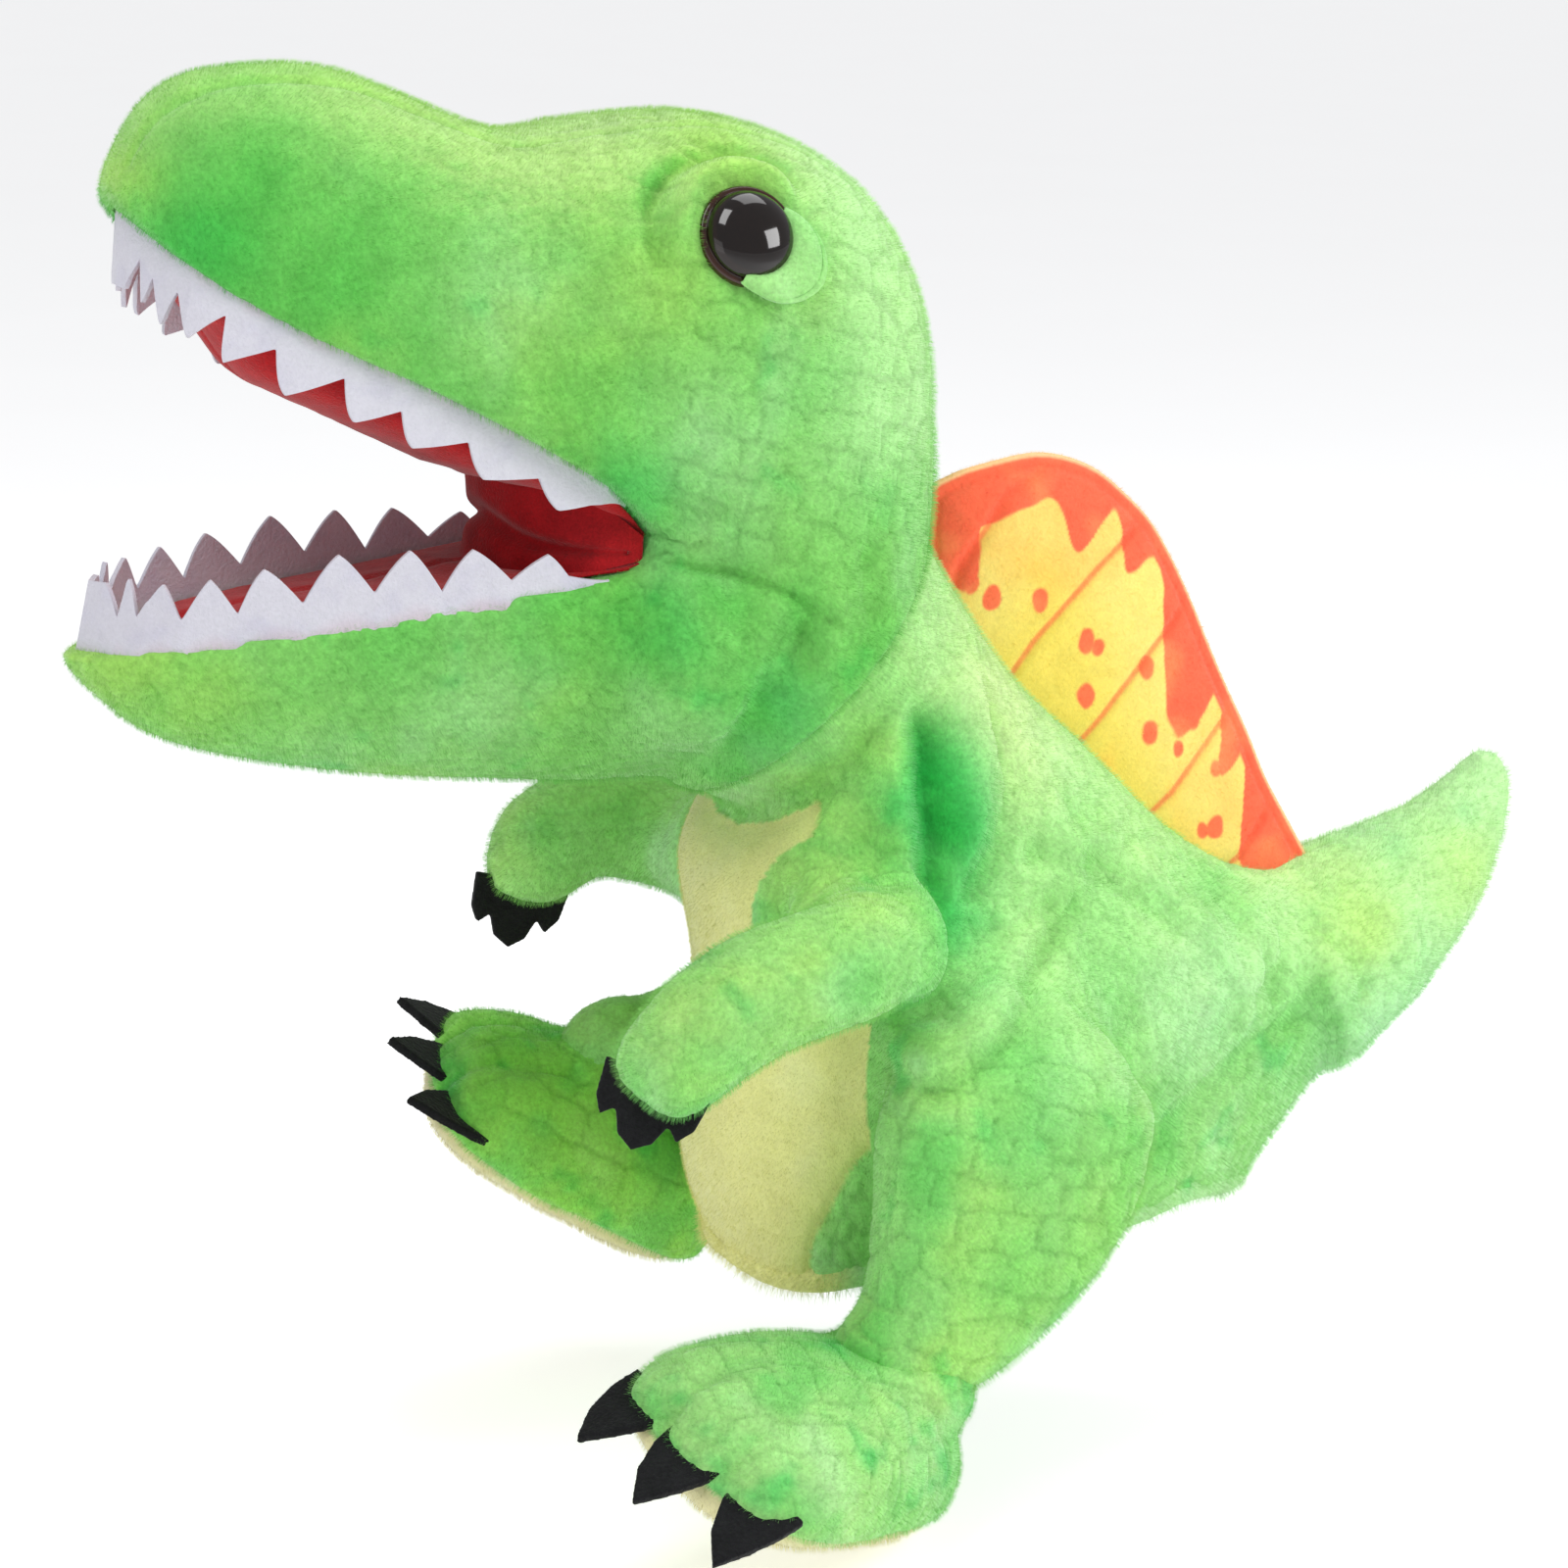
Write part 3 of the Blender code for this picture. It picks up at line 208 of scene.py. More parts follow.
# ==== mesh tools ======================================================================
def smooth_rows(rows, per=4):
    """Catmull-Rom reading of a table, per steps to each gap."""
    table = np.array(rows, float)
    count, out = len(table), []
    for k in range(count - 1):
        before, here = table[max(k - 1, 0)], table[k]
        there, after = table[k + 1], table[min(k + 2, count - 1)]
        for i in range(per):
            t = i / per
            out.append(0.5 * (2 * here + (there - before) * t
                              + (2 * before - 5 * here + 4 * there - after) * t * t
                              + (3 * here - before - 3 * there + after) * t ** 3))
    out.append(table[-1])
    return np.array(out)


def squared(value, power):
    """A sine or cosine pushed out toward a superellipse."""
    return np.sign(value) * np.abs(value) ** (2 / power)


def ring(centre, side, up, half_width, rise, drop, count=64, egg=0.0, power=2.0):
    """A closed section; egg narrows its upper part."""
    angle = 2 * math.pi * (np.arange(count) + 0.5) / count
    cos, sin = np.cos(angle), np.sin(angle)
    height = np.where(sin > 0, rise, drop)
    return (centre + np.outer(half_width * squared(cos, power) * (1 - egg * sin), side)
            + np.outer(height * squared(sin, power), up))


def loft(rings, start=None, end=None):
    """A closed loft; its ends are drawn to a point, or to their middle."""
    count = len(rings[0])
    pts = list(np.concatenate(rings))
    faces = []
    for k in range(len(rings) - 1):
        for i in range(count):
            j = (i + 1) % count
            here, there = k * count, (k + 1) * count
            faces.append((here + i, here + j, there + j, there + i))
    for which, tip in ((0, start), (len(rings) - 1, end)):
        pts.append(np.mean(rings[which], 0) if tip is None else np.array(tip))
        for i in range(count):
            tri = (which * count + i, which * count + (i + 1) % count, len(pts) - 1)
            faces.append(tri if which else tri[::-1])
    return np.array(pts), faces


def ellipsoid(centre, radii):
    bm = bmesh.new()
    bmesh.ops.create_uvsphere(bm, u_segments=48, v_segments=32, radius=1.0)
    pts = np.array([v.co for v in bm.verts])
    faces = [tuple(v.index for v in f.verts) for f in bm.faces]
    bm.free()
    return pts * radii + centre, faces


def object_of(name, pts, faces):
    mesh = bpy.data.meshes.new(name)
    faces = faces.tolist() if isinstance(faces, np.ndarray) else faces
    mesh.from_pydata(((np.asarray(pts) - ORIGIN) * MM).tolist(), [], faces)
    mesh.update()
    ob = bpy.data.objects.new(name, mesh)
    bpy.context.scene.collection.objects.link(ob)
    return ob


def face_outward(ob):
    bm = bmesh.new()
    bm.from_mesh(ob.data)
    bmesh.ops.recalc_face_normals(bm, faces=bm.faces)
    bm.to_mesh(ob.data)
    bm.free()


def arrays_of(ob):
    """Evaluated points in millimetres, and quads; a triangle repeats its last corner."""
    deps = bpy.context.evaluated_depsgraph_get()
    deps.update()
    evaluated = ob.evaluated_get(deps)
    mesh = evaluated.to_mesh()
    pts = np.empty(len(mesh.vertices) * 3)
    mesh.vertices.foreach_get("co", pts)
    corners = np.empty(len(mesh.loops), int)
    mesh.loops.foreach_get("vertex_index", corners)
    sizes = np.empty(len(mesh.polygons), int)
    mesh.polygons.foreach_get("loop_total", sizes)
    if (sizes != 4).any():
        starts = np.cumsum(sizes) - sizes
        quads = np.array([[corners[start + min(k, size - 1)] for k in range(4)]
                          for start, size in zip(starts, sizes)])
    else:
        quads = corners.reshape(-1, 4)
    evaluated.to_mesh_clear()
    return pts.reshape(-1, 3) / MM + ORIGIN, quads


def baked(ob, kind, **settings):
    """Points and quads of a temporary object under one modifier."""
    put(ob.modifiers.new("bake", kind), **settings)
    out = arrays_of(ob)
    bpy.data.objects.remove(ob)
    return out


def fuse(solids, voxel):
    """One skin round several overlapping closed solids."""
    pts, faces, start = [], [], 0
    for solid_pts, solid_faces in solids:
        pts.append(solid_pts)
        faces += [tuple(i + start for i in face) for face in solid_faces]
        start += len(solid_pts)
    ob = object_of("fuse", np.concatenate(pts), faces)
    face_outward(ob)
    return baked(ob, "REMESH", mode="VOXEL", voxel_size=voxel * MM)


def halve(pts, quads):
    return baked(object_of("halve", pts, quads), "SUBSURF", levels=1, render_levels=1)


def relax(pts, quads, rounds, weight=1.0, inward=0.5, outward=-0.52):
    """Smooths by steps in and back out; with outward=0 it also shrinks."""
    edges = np.concatenate([quads[:, [k, (k + 1) % 4]] for k in range(4)])
    edges = np.unique(np.sort(edges, 1), axis=0)
    edges = edges[edges[:, 0] != edges[:, 1]]
    one, two, count = edges[:, 0], edges[:, 1], len(pts)
    degree = np.maximum(np.bincount(edges.ravel(), minlength=count), 1)
    weight = np.ones(count) * weight
    pts = pts.copy()
    for _ in range(rounds):
        for step in ((inward, outward) if outward else (inward,)):
            total = np.stack([np.bincount(one, pts[two, c], count)
                              + np.bincount(two, pts[one, c], count) for c in range(3)], 1)
            pts += (weight * step)[:, None] * (total / degree[:, None] - pts)
    return pts


def face_crosses(pts, quads):
    """Unscaled face normals, from the quads' diagonals."""
    return np.cross(pts[quads[:, 2]] - pts[quads[:, 0]], pts[quads[:, 3]] - pts[quads[:, 1]])


def normals_of(pts, quads):
    cross = face_crosses(pts, quads)
    out = np.stack([np.bincount(quads.ravel(), np.repeat(cross[:, c], 4), len(pts))
                    for c in range(3)], 1)
    return out / np.maximum(np.linalg.norm(out, axis=1), 1e-12)[:, None]


def curve_distance(points, line):
    """Distance in the plane from a broken line."""
    line = np.array(line, float)
    best = np.full(len(points), 1e9)
    for a, b in zip(line, line[1:]):
        step = b - a
        t = np.clip(((points - a) @ step) / (step @ step), 0, 1)
        best = np.minimum(best, np.linalg.norm(points - a - t[:, None] * step, axis=1))
    return best


def wandering(pts, reach, size, seed):
    """Side-view (y, z) of points, shaken so that folds don't run quite true."""
    shake = np.stack([perlin(pts, size, seed), perlin(pts, size, seed + 1)], 1)
    return pts[:, 1:] + reach * shake


def grid_quads(index):
    corners = [index[:-1, :-1], index[1:, :-1], index[1:, 1:], index[:-1, 1:]]
    return np.stack(corners, -1).reshape(-1, 4)


# ==== colours =========================================================================
def rgb(text):
    return np.array([int(text[i:i + 2], 16) / 255 for i in (0, 2, 4)])


LIGHT, SAT, LIME, MINT, PALE, DEEP = (
    rgb(c) for c in ("98db7e", "6ccb62", "bce678", "bdeab6", "d8eea4", "1fba4c"))
BELLY, CREAM = rgb("e8e59a"), rgb("e6e0ac")
RED, RED_DARK, TEETH = rgb("b3181d"), rgb("7d0d14"), rgb("d2d0da")


def mix(a, b, t):
    return a + (b - a) * np.reshape(t, (-1, 1))


def tie_dye(pts, warmth=0.0):
    """Patches of green; warmth adds lime all over."""
    tall = pts * (1, 1, 0.55)
    col = mix(LIGHT, SAT, 0.75 * patches(tall, 34, 1, 0.02, 0.42))
    col = mix(col, MINT, 0.60 * patches(tall, 28, 2, 0.05, 0.45))
    col = mix(col, LIME, np.clip(0.55 * patches(pts, 40, 4, 0.05, 0.5) + warmth, 0, 1))
    return mix(col, DEEP, 0.35 * patches(pts, 16, 6, 0.25, 0.6))


def dab(col, pts, spots):
    """Dabs of dyed colour: y, z, radius, colour, strength, and side (1, -1, or 0 for both)."""
    mottle = 0.35 * fbm(pts, 14, 8)
    for y, z, radius, colour, strength, side in spots:
        gap = np.hypot(pts[:, 1] - y, pts[:, 2] - z) / radius + mottle
        t = strength * np.exp(-gap * gap * 1.2)
        if side:
            t = t * ramp(pts[:, 0] * side, 4, 18)
        col = mix(col, colour, np.clip(t, 0, 1))
    return col


def emboss(pts, big):
    """0 on the pile, 1 in a pressed line; big is 1 where the large plates are."""
    warp = pts + np.stack([perlin(pts, 22, seed) for seed in (31, 32, 33)], 1) * 2.2
    turned = warp @ np.array(Matrix.Rotation(math.radians(12), 3, "X")).T
    plates = cell_edge(turned, vec(14, 10.5, 9.0), jitter=0.30, power=6, seed=3)
    pebbles = cell_edge(warp, vec(5.4, 5.4, 4.8), jitter=0.75, power=2.2, seed=9)
    plate_lines = (1 - ramp(plates, 0.25, 1.25)) * big
    pebble_lines = (1 - ramp(pebbles, 0.15, 1.0)) * (1 - big) * 0.7
    return np.clip(plate_lines + pebble_lines, 0, 1)


PRESS_SHADE = 0.055                  # how much painted shade darkens a pressed line


# ==== materials =======================================================================
class Build:
    """A material and short ways to add nodes to it."""

    def __init__(self, name):
        self.material = bpy.data.materials.new(name)
        self.material.use_nodes = True
        self.tree = self.material.node_tree
        self.shader = self.tree.nodes["Principled BSDF"]

    def node(self, kind, **settings):
        node = self.tree.nodes.new(kind)
        put(node, **settings)
        return node

    def link(self, a, b):
        self.tree.links.new(a, b)

    def set(self, values):
        for name, value in values.items():
            self.shader.inputs[name].default_value = value

    def rest(self):
        """The point on the cloth at rest, in metres, whatever the pose."""
        maps = [self.node("ShaderNodeUVMap", uv_map=name) for name in ("rest_a", "rest_b")]
        parts = [self.node("ShaderNodeSeparateXYZ") for _ in maps]
        for uv, part in zip(maps, parts):
            self.link(uv.outputs[0], part.inputs[0])
        point = self.node("ShaderNodeCombineXYZ")
        self.link(parts[0].outputs[0], point.inputs[0])
        self.link(parts[0].outputs[1], point.inputs[1])
        self.link(parts[1].outputs[0], point.inputs[2])
        return point.outputs[0]

    def dye(self):
        # the colour layer: dyed colour, with painted light and shade where a mesh has them
        return self.node("ShaderNodeVertexColor", layer_name="dye").outputs[0]

    def noise(self, point, scale, detail=2.0, rough=0.5):
        node = self.node("ShaderNodeTexNoise")
        for name, value in (("Scale", scale), ("Detail", detail), ("Roughness", rough)):
            node.inputs[name].default_value = value
        self.link(point, node.inputs["Vector"])
        return node.outputs[0]

    def remap(self, value, from_low, from_high, to_low, to_high):
        node = self.node("ShaderNodeMapRange")
        self.link(value, node.inputs[0])
        for i, limit in enumerate((from_low, from_high, to_low, to_high), 1):
            node.inputs[i].default_value = limit
        return node.outputs[0]

    def vary(self, noise, swing):
        """A brightness factor swinging either side of 1."""
        return self.remap(noise, 0.3, 0.7, 1 - swing, 1 + swing)

    def times(self, colour, factor):
        node = self.node("ShaderNodeVectorMath", operation="SCALE")
        self.link(colour, node.inputs[0])
        self.link(factor, node.inputs["Scale"])
        return node.outputs[0]

    def colour(self, colour):
        self.link(colour, self.shader.inputs["Base Color"])

    def bump(self, height, strength, depth):
        node = self.node("ShaderNodeBump")
        node.inputs["Strength"].default_value = strength
        node.inputs["Distance"].default_value = depth
        self.link(height, node.inputs["Height"])
        self.link(node.outputs[0], self.shader.inputs["Normal"])


def cloth(name, rough=0.9, fine=900, mid=120, swing=0.12, bump=0.35, depth=0.0006, sheen=0.35):
    """Cloth in its dyed colour, painted light and shade included, broken up by fine and middling
    noise.
    """
    k = Build(name)
    point = k.rest()
    fine_noise = k.noise(point, fine, rough=0.6)
    mid_noise = k.noise(point, mid, detail=3.0, rough=0.55)
    colour = k.times(k.dye(), k.vary(fine_noise, swing))
    k.colour(k.times(colour, k.vary(mid_noise, swing * 0.7)))
    k.set({"Roughness": rough, "Sheen Weight": sheen, "Sheen Roughness": 0.45,
           "Specular IOR Level": 0.12})
    k.bump(fine_noise, bump, depth)
    return k.material


def pile(name):
    """The fibres standing on a plush skin, with painted shade darkening each toward its root and
    a painted highlight on its tip.
    """
    k = Build(name)
    point = k.rest()
    colour = k.dye()
    hair = k.node("ShaderNodeHairInfo")
    # painted shade toward each fibre's root, painted highlight toward its tip
    along = k.remap(hair.outputs["Intercept"], 0.0, 1.0, to_low=0.80, to_high=1.10)
    each = k.remap(hair.outputs["Random"], 0.0, 1.0, to_low=0.86, to_high=1.14)
    broad = k.vary(k.noise(point, 260), 0.10)
    for factor in (along, each, broad):
        colour = k.times(colour, factor)
    k.colour(colour)
    k.set({"Roughness": 0.75, "Specular IOR Level": 0.18})
    return k.material


def eye_material():
    """Glossy plastic."""
    k = Build("eye_dome")
    point = k.rest()
    colour = k.dye()
    k.colour(k.times(colour, k.vary(k.noise(point, 700), 0.15)))
    k.set({"Roughness": 0.09, "Coat Weight": 0.5, "Specular IOR Level": 0.3,
           "Coat Roughness": 0.03})
    k.bump(k.noise(point, 260), strength=0.02, depth=0.0005)
    return k.material


PLUSH = cloth("plush")
PILE = pile("plush_pile")
MINKY = cloth("minky", fine=1300, mid=90, swing=0.06, bump=0.25, sheen=0.5)
FLEECE = cloth("red_fleece", fine=1500, mid=200, swing=0.16, bump=0.5, depth=0.0005, sheen=0.25)
FELT_WHITE = cloth("white_felt", fine=1100, mid=260, swing=0.035, bump=0.6, depth=0.0005,
                   sheen=0.3)
FELT_BLACK = cloth("black_felt", fine=1100, mid=260, swing=0.25, bump=0.7, sheen=0.12, rough=0.85)
PRINT = cloth("sail_print", fine=1200, mid=150, swing=0.05, bump=0.3, sheen=0.3)
LINING = cloth("grey_lining", fine=1600, mid=80, swing=0.06, bump=0.4, sheen=0.1)
FIBRE = cloth("polyester_fibre", fine=500, mid=90, swing=0.08, bump=1.0, depth=0.002, sheen=0.4)
EYE_PLASTIC = eye_material()


# ==== finishing a mesh ================================================================
def paint(ob, pts, colour, *materials, normals=None):
    """Rest positions, dyed colours with any painted light and shade, smooth shading and materials
    on a finished mesh.
    """
    mesh = ob.data
    corners = np.empty(len(mesh.loops), int)
    mesh.loops.foreach_get("vertex_index", corners)
    for name, columns in (("rest_a", (0, 1)), ("rest_b", (2, 2))):
        flat = (pts[corners][:, columns] * MM).astype(np.float32).ravel()
        mesh.uv_layers.new(name=name).data.foreach_set("uv", flat)
    # the colour layer carries the dyed colour and, on some meshes, painted light and shade
    dye = mesh.color_attributes.new("dye", "BYTE_COLOR", "CORNER")
    rgba = np.ones((len(corners), 4), np.float32)
    rgba[:, :3] = np.clip(colour, 0, 1)[corners]
    dye.data.foreach_set("color_srgb", rgba.ravel())
    mesh.color_attributes.active_color = dye
    mesh.polygons.foreach_set("use_smooth", np.ones(len(mesh.polygons), bool))
    for material in materials:
        mesh.materials.append(material)
    if normals is not None:
        mesh.normals_split_custom_set_from_vertices(normals.tolist())
    mesh.update()


Skin = namedtuple("Skin", "pts quads normals colour")


def cut_out(name, skin, mask, material=PLUSH):
    """The masked faces of a skin as an object, ready for its pile."""
    used, quads = np.unique(skin.quads[mask], return_inverse=True)
    pts = skin.pts[used]
    ob = object_of(name, pts, quads.reshape(-1, 4))
    paint(ob, pts, skin.colour[used], material, PILE, normals=skin.normals[used])
    return ob


def fur(ob, seed, per_mm2=2.4, length=1.5, comb=(0, 0.35, -0.45), wild=0.22):
    """Short dense pile, laid a little along comb."""
    area = sum(face.area for face in ob.data.polygons) / MM ** 2
    modifier = ob.modifiers.new("pile", "PARTICLE_SYSTEM")
    system = modifier.particle_system
    system.seed = seed
    put(system.settings,
        type="HAIR",
        count=max(10, int(area * per_mm2 * (1.0 if FINE else 0.35))),
        hair_step=2,
        render_step=2,
        display_step=1,
        use_advanced_hair=True,
        hair_length=length * MM,
        object_align_factor=tuple(c * length * MM / 4 for c in comb),
        factor_random=wild * length * MM / 4,
        length_random=0.35,
        emit_from="FACE",
        distribution="RAND",
        use_even_distribution=True,
        root_radius=1.0,
        tip_radius=0.35,
        radius_scale=0.055 * MM * (1.0 if FINE else 1.6),
        material=len(ob.data.materials),
        display_percentage=1)
    modifier.show_viewport = False


def attach(ob, body, node):
    """Ties a piece to a body in place of a frame node; for a joint of two bodies it only bakes
    the piece's transform.
    """
    if isinstance(body, str):
        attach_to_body(ob, body)
    else:
        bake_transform(ob)
    if node:
        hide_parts(node)


def sheet(name, grid, colour, material, thick=0.0):
    """Cloth from a grid of points on its outer face; with thick it gets a back and a rim."""
    pts = grid.reshape(-1, 3)
    index = np.arange(len(pts)).reshape(grid.shape[:2])
    quads = grid_quads(index)
    if thick:
        count = len(pts)
        back = pts - normals_of(pts, quads) * thick
        rim = np.concatenate([index[:, 0], index[-1, 1:], index[::-1, -1][1:],
                              index[0, ::-1][1:]])
        a, b = rim[:-1], rim[1:]
        edge = np.stack([a, b, b + count, a + count], -1)[:, ::-1]
        quads = np.concatenate([quads, quads[:, ::-1] + count, edge])
        pts, colour = np.concatenate([pts, back]), np.concatenate([colour, colour])
    ob = object_of(name, pts, quads)
    if thick:
        face_outward(ob)
    paint(ob, pts, colour, material)
    return ob


# ==== legs and feet: how they are posed ===============================================
def swing(points, lift, sign):
    """Left-leg points on the side given by sign, the leg raised by lift about the hip."""
    return ((points - HIP) @ turn_x(-lift).T + HIP) * (sign, 1, 1)


class Foot(namedtuple("Foot", "sign lift tilt toe wide top heart")):
    """A foot's pose, its own axes and its middle, before it is tilted and swung."""

    def place(self, points):
        tilted = (points - ANKLE) @ turn_x(-self.tilt).T + ANKLE
        return swing(tilted, self.lift, self.sign)


def foot_pose(sign, lift, tilt, yaw, roll, ahead, across):
    yaw, pitch, roll = math.radians(yaw), math.radians(17), math.radians(roll)
    toe = vec(math.sin(yaw), -math.cos(yaw), 0) * math.cos(pitch) + Z * math.sin(pitch)
    wide = vec(math.cos(yaw), math.sin(yaw), 0)
    wide = unit(wide * math.cos(roll) - Z * math.sin(roll))
    wide = unit(wide - toe * (wide @ toe))
    top = np.cross(wide, toe)
    top = top if top[2] > 0 else -top
    heart = ANKLE + top * -27 + toe * ahead + wide * across
    return Foot(sign, lift, tilt, toe, wide, top, heart)


# angles in degrees; ahead and across place the foot's middle from the ankle
FEET = {
    "left": foot_pose(1, lift=0.0, tilt=0.0, yaw=30, roll=24, ahead=15, across=1),
    "right": foot_pose(-1, lift=56.0, tilt=-38.0, yaw=4, roll=-20, ahead=-9, across=-3),
}

# ==== the torso, arms, legs and tail: one skin, cut at the seams ======================
# front y z, rear y z, half-width, egg, squareness
BODY = (
    (-108, 3, 33, 4, 43.0, 0.40, 2.15),
    (-109, 14, 36, 15, 44.8, 0.40, 2.15),
    (-114, 28, 47, 29, 46.5, 0.42, 2.15),
    (-116, 46, 64, 47, 46.5, 0.46, 2.15),
    (-114, 62, 75, 58, 46.5, 0.50, 2.15),
    (-112, 74, 79, 71, 46, 0.52, 2.15),
    (-112, 84, 75, 86, 45, 0.52, 2.15),
    (-113, 92, 58, 95.5, 44.5, 0.48, 2.15),
    (-114, 99, 34, 101, 44.5, 0.42, 2.15),
    (-115, 106, 12, 115, 44.5, 0.34, 2.15),
    (-115, 112, -12, 137, 44.5, 0.24, 2.15),
    (-112, 119.5, -34, 159, 43.5, 0.12, 2.1),
)
# x y z and radius from shoulder to paw, on the left side
ARM = {
    "left": (
        (40, -92, 105, 17.5), (52.2, -93, 105, 15.5), (56.8, -93.6, 105.1, 15.2),
        (61.2, -95.5, 105.2, 15.0), (64.9, -98.5, 105.2, 14.9), (67.6, -102.4, 105.0, 14.8),
        (69.0, -107, 104.5, 14.8), (69.4, -113.5, 103.4, 14.8), (69.2, -125, 100.2, 14.9),
        (69, -137, 94, 14.6), (69, -146.5, 86.5, 13.6), (69, -152, 80.5, 11.5),
        (69, -154.5, 77.5, 8.0)),
    "right": (
        (40, -92, 105, 17.5), (52.2, -93, 105, 15.5), (56.8, -93.6, 105.1, 15.2),
        (61.2, -95.5, 105.4, 14.9), (64.9, -98.5, 106.1, 14.7), (67.6, -102.4, 107.3, 14.5),
        (69.0, -107, 108.4, 14.5), (69.3, -113, 109.6, 14.5), (69, -120.5, 109.8, 14.6),
        (69, -128, 106.6, 14.4), (69, -133.6, 101, 13.4), (69, -136.6, 95, 11.3),
        (69, -137.6, 91.6, 7.6)),
}
ARM_TIP = {"left": vec(69, -155.2, 76.8), "right": vec(69, -138.0, 90.0)}
# x y z, half-width, half-depth, tilt in degrees, from hip to ankle
LEG = (
    (60, -58, 92, 4, 8, 0), (60, -59, 87, 9, 16, 0), (61, -59, 82, 12.5, 23, 0),
    (63, -58, 72, 16, 31, 4), (64, -58, 56, 18, 35.5, 8), (64.5, -61, 40, 18, 34, 14),
    (65.5, -68, 26, 16.5, 29, 22), (66.5, -77, 15, 15, 23, 32), (67, -84, 8, 13.6, 19, 40),
)
# distance along the tail, lift off its line, radius, tilt in degrees
TAIL_ROWS = (
    (-8, -2, 29, 24), (2, -1, 28.5, 25), (9.5, 0, 26.8, 26), (19, 0, 25.0, 27),
    (31, 1.0, 21.8, 31), (42, 3.0, 18.2, 37), (52, 6.5, 14.6, 43), (61, 11.5, 11.0, 48),
    (68, 17, 7.2, 52), (71.3, 20, 4.0, 54),
)
# z, rear y of the belly panel
BELLY_EDGE = (
    (5, -101), (19, -102), (33, -97), (45, -92), (52, -87), (59, -80), (67, -77), (76, -79),
    (84, -84), (94, -92), (104, -101), (114, -108), (123, -103), (132, -100), (149, -102),
    (165, -106),
)
# folds: (y, z) line, side (0 for both), height, width
BODY_FOLDS = (
    (((-80, 156), (-80, 140), (-81, 121), (-83, 98), (-84, 84)), 1, 1.7, 4.5),
    (((-70, 152), (-70, 138), (-69, 125), (-72, 112)), 1, -2.6, 5.0),
    (((-58, 160), (-57, 145), (-62, 128), (-70, 112)), 1, 1.6, 5.5),
    (((-46, 150), (-44, 136), (-50, 122), (-60, 112)), 1, -1.3, 4.5),
    (((-84, 72), (-72, 78), (-58, 87), (-44, 95), (-31, 104)), 1, -1.3, 3.2),
    (((-84, 78), (-72, 84), (-58, 93), (-44, 101)), 1, 0.9, 3.5),
    (((-34, 128), (-30, 112), (-36, 98)), 1, 1.0, 4.5),
    (((14, 108), (34, 98), (52, 84), (62, 70)), 0, -1.2, 3.2),
    (((34, 100), (36, 88), (32, 74)), 0, -1.1, 3.0),
    (((24, 104), (26, 92), (22, 80)), 0, 0.8, 3.0),
    (((46, 98), (52, 84), (50, 66)), 0, 0.9, 3.4),
    (((-20, 30), (10, 52), (40, 66)), 0, -1.1, 5.0),
    (((-24, 58), (0, 74), (30, 84)), 0, 0.9, 6.0),
    (((2, 118), (18, 100), (30, 78)), 0, -0.9, 3.0),
    (((-6, 110), (10, 92), (20, 70)), 0, 0.8, 3.6),
    (((40, 62), (56, 66), (72, 78)), 0, -0.9, 2.8),
    (((-40, 118), (-20, 112), (0, 96)), 1, -0.9, 3.6),
    (((-52, 104), (-34, 116), (-14, 120)), 1, 0.9, 4.0),
    (((-82, 150), (-76, 128), (-80, 100)), -1, -1.8, 5.0),
    (((-62, 156), (-58, 136), (-66, 116)), -1, 1.6, 5.5),
    (((-84, 74), (-56, 90), (-30, 106)), -1, -1.2, 3.6),
)
BODY_SPOTS = (
    (-70, 142, 15, DEEP, 0.95, 1), (-66, 128, 12, DEEP, 0.75, 1), (-76, 110, 10, SAT, 0.8, 1),
    (-68, 108, 13, DEEP, 0.6, 1), (-84, 150, 10, LIME, 0.5, 1), (-48, 160, 20, PALE, 0.7, 0),
    (-40, 140, 16, PALE, 0.5, 1), (-30, 108, 22, LIGHT, 0.7, 1), (-60, 78, 14, SAT, 0.6, 1),
    (-22, 84, 18, SAT, 0.35, 1), (5, 70, 22, MINT, 0.6, 1), (-86, 92, 10, SAT, 0.7, 1),
    (-62, 60, 16, SAT, 0.45, 1), (-40, 34, 18, LIME, 0.4, 1), (-66, 26, 16, SAT, 0.5, 1),
    (60, 88, 14, LIME, 0.7, 0), (20, 102, 12, SAT, 0.45, 1), (96, 96, 14, LIME, 0.5, 0),
    (40, 60, 16, SAT, 0.4, 1), (-70, 140, 16, DEEP, 0.7, -1), (-40, 120, 20, PALE, 0.5, -1),
    (-30, 80, 22, SAT, 0.5, -1), (20, 70, 20, MINT, 0.5, -1), (-130, 98, 12, LIGHT, 0.6, 0),
    (-106, 104, 9, SAT, 0.5, 1),
)
PARTS = ("body", "arm_left", "arm_right", "leg_left", "leg_right", "tail", "belly")
BODY_PART, TAIL_PART, BELLY_PART = (PARTS.index(name) for name in ("body", "tail", "belly"))
OFF_BELLY = -9.0


def neck_row(drop):
    """A body station across the ball of the neck."""
    reach = math.sqrt(NECK_RADIUS * NECK_RADIUS - drop * drop)
    middle = NECK + NECK_DOWN * drop
    front, rear = middle + NECK_FRONT * reach, middle - NECK_FRONT * reach
    return (front[1], front[2], rear[1], rear[2], reach, 0.0, 2.0)


def body_rings(rows, per=4, count=72):
    out = []
    for front_y, front_z, rear_y, rear_z, half_width, egg, power in smooth_rows(rows, per):
        front, rear = vec(0, front_y, front_z), vec(0, rear_y, rear_z)
        half = np.linalg.norm(rear - front) / 2
        out.append(ring((front + rear) / 2, X, unit(rear - front), half_width, half, half,
                        count, egg, power))
    return out


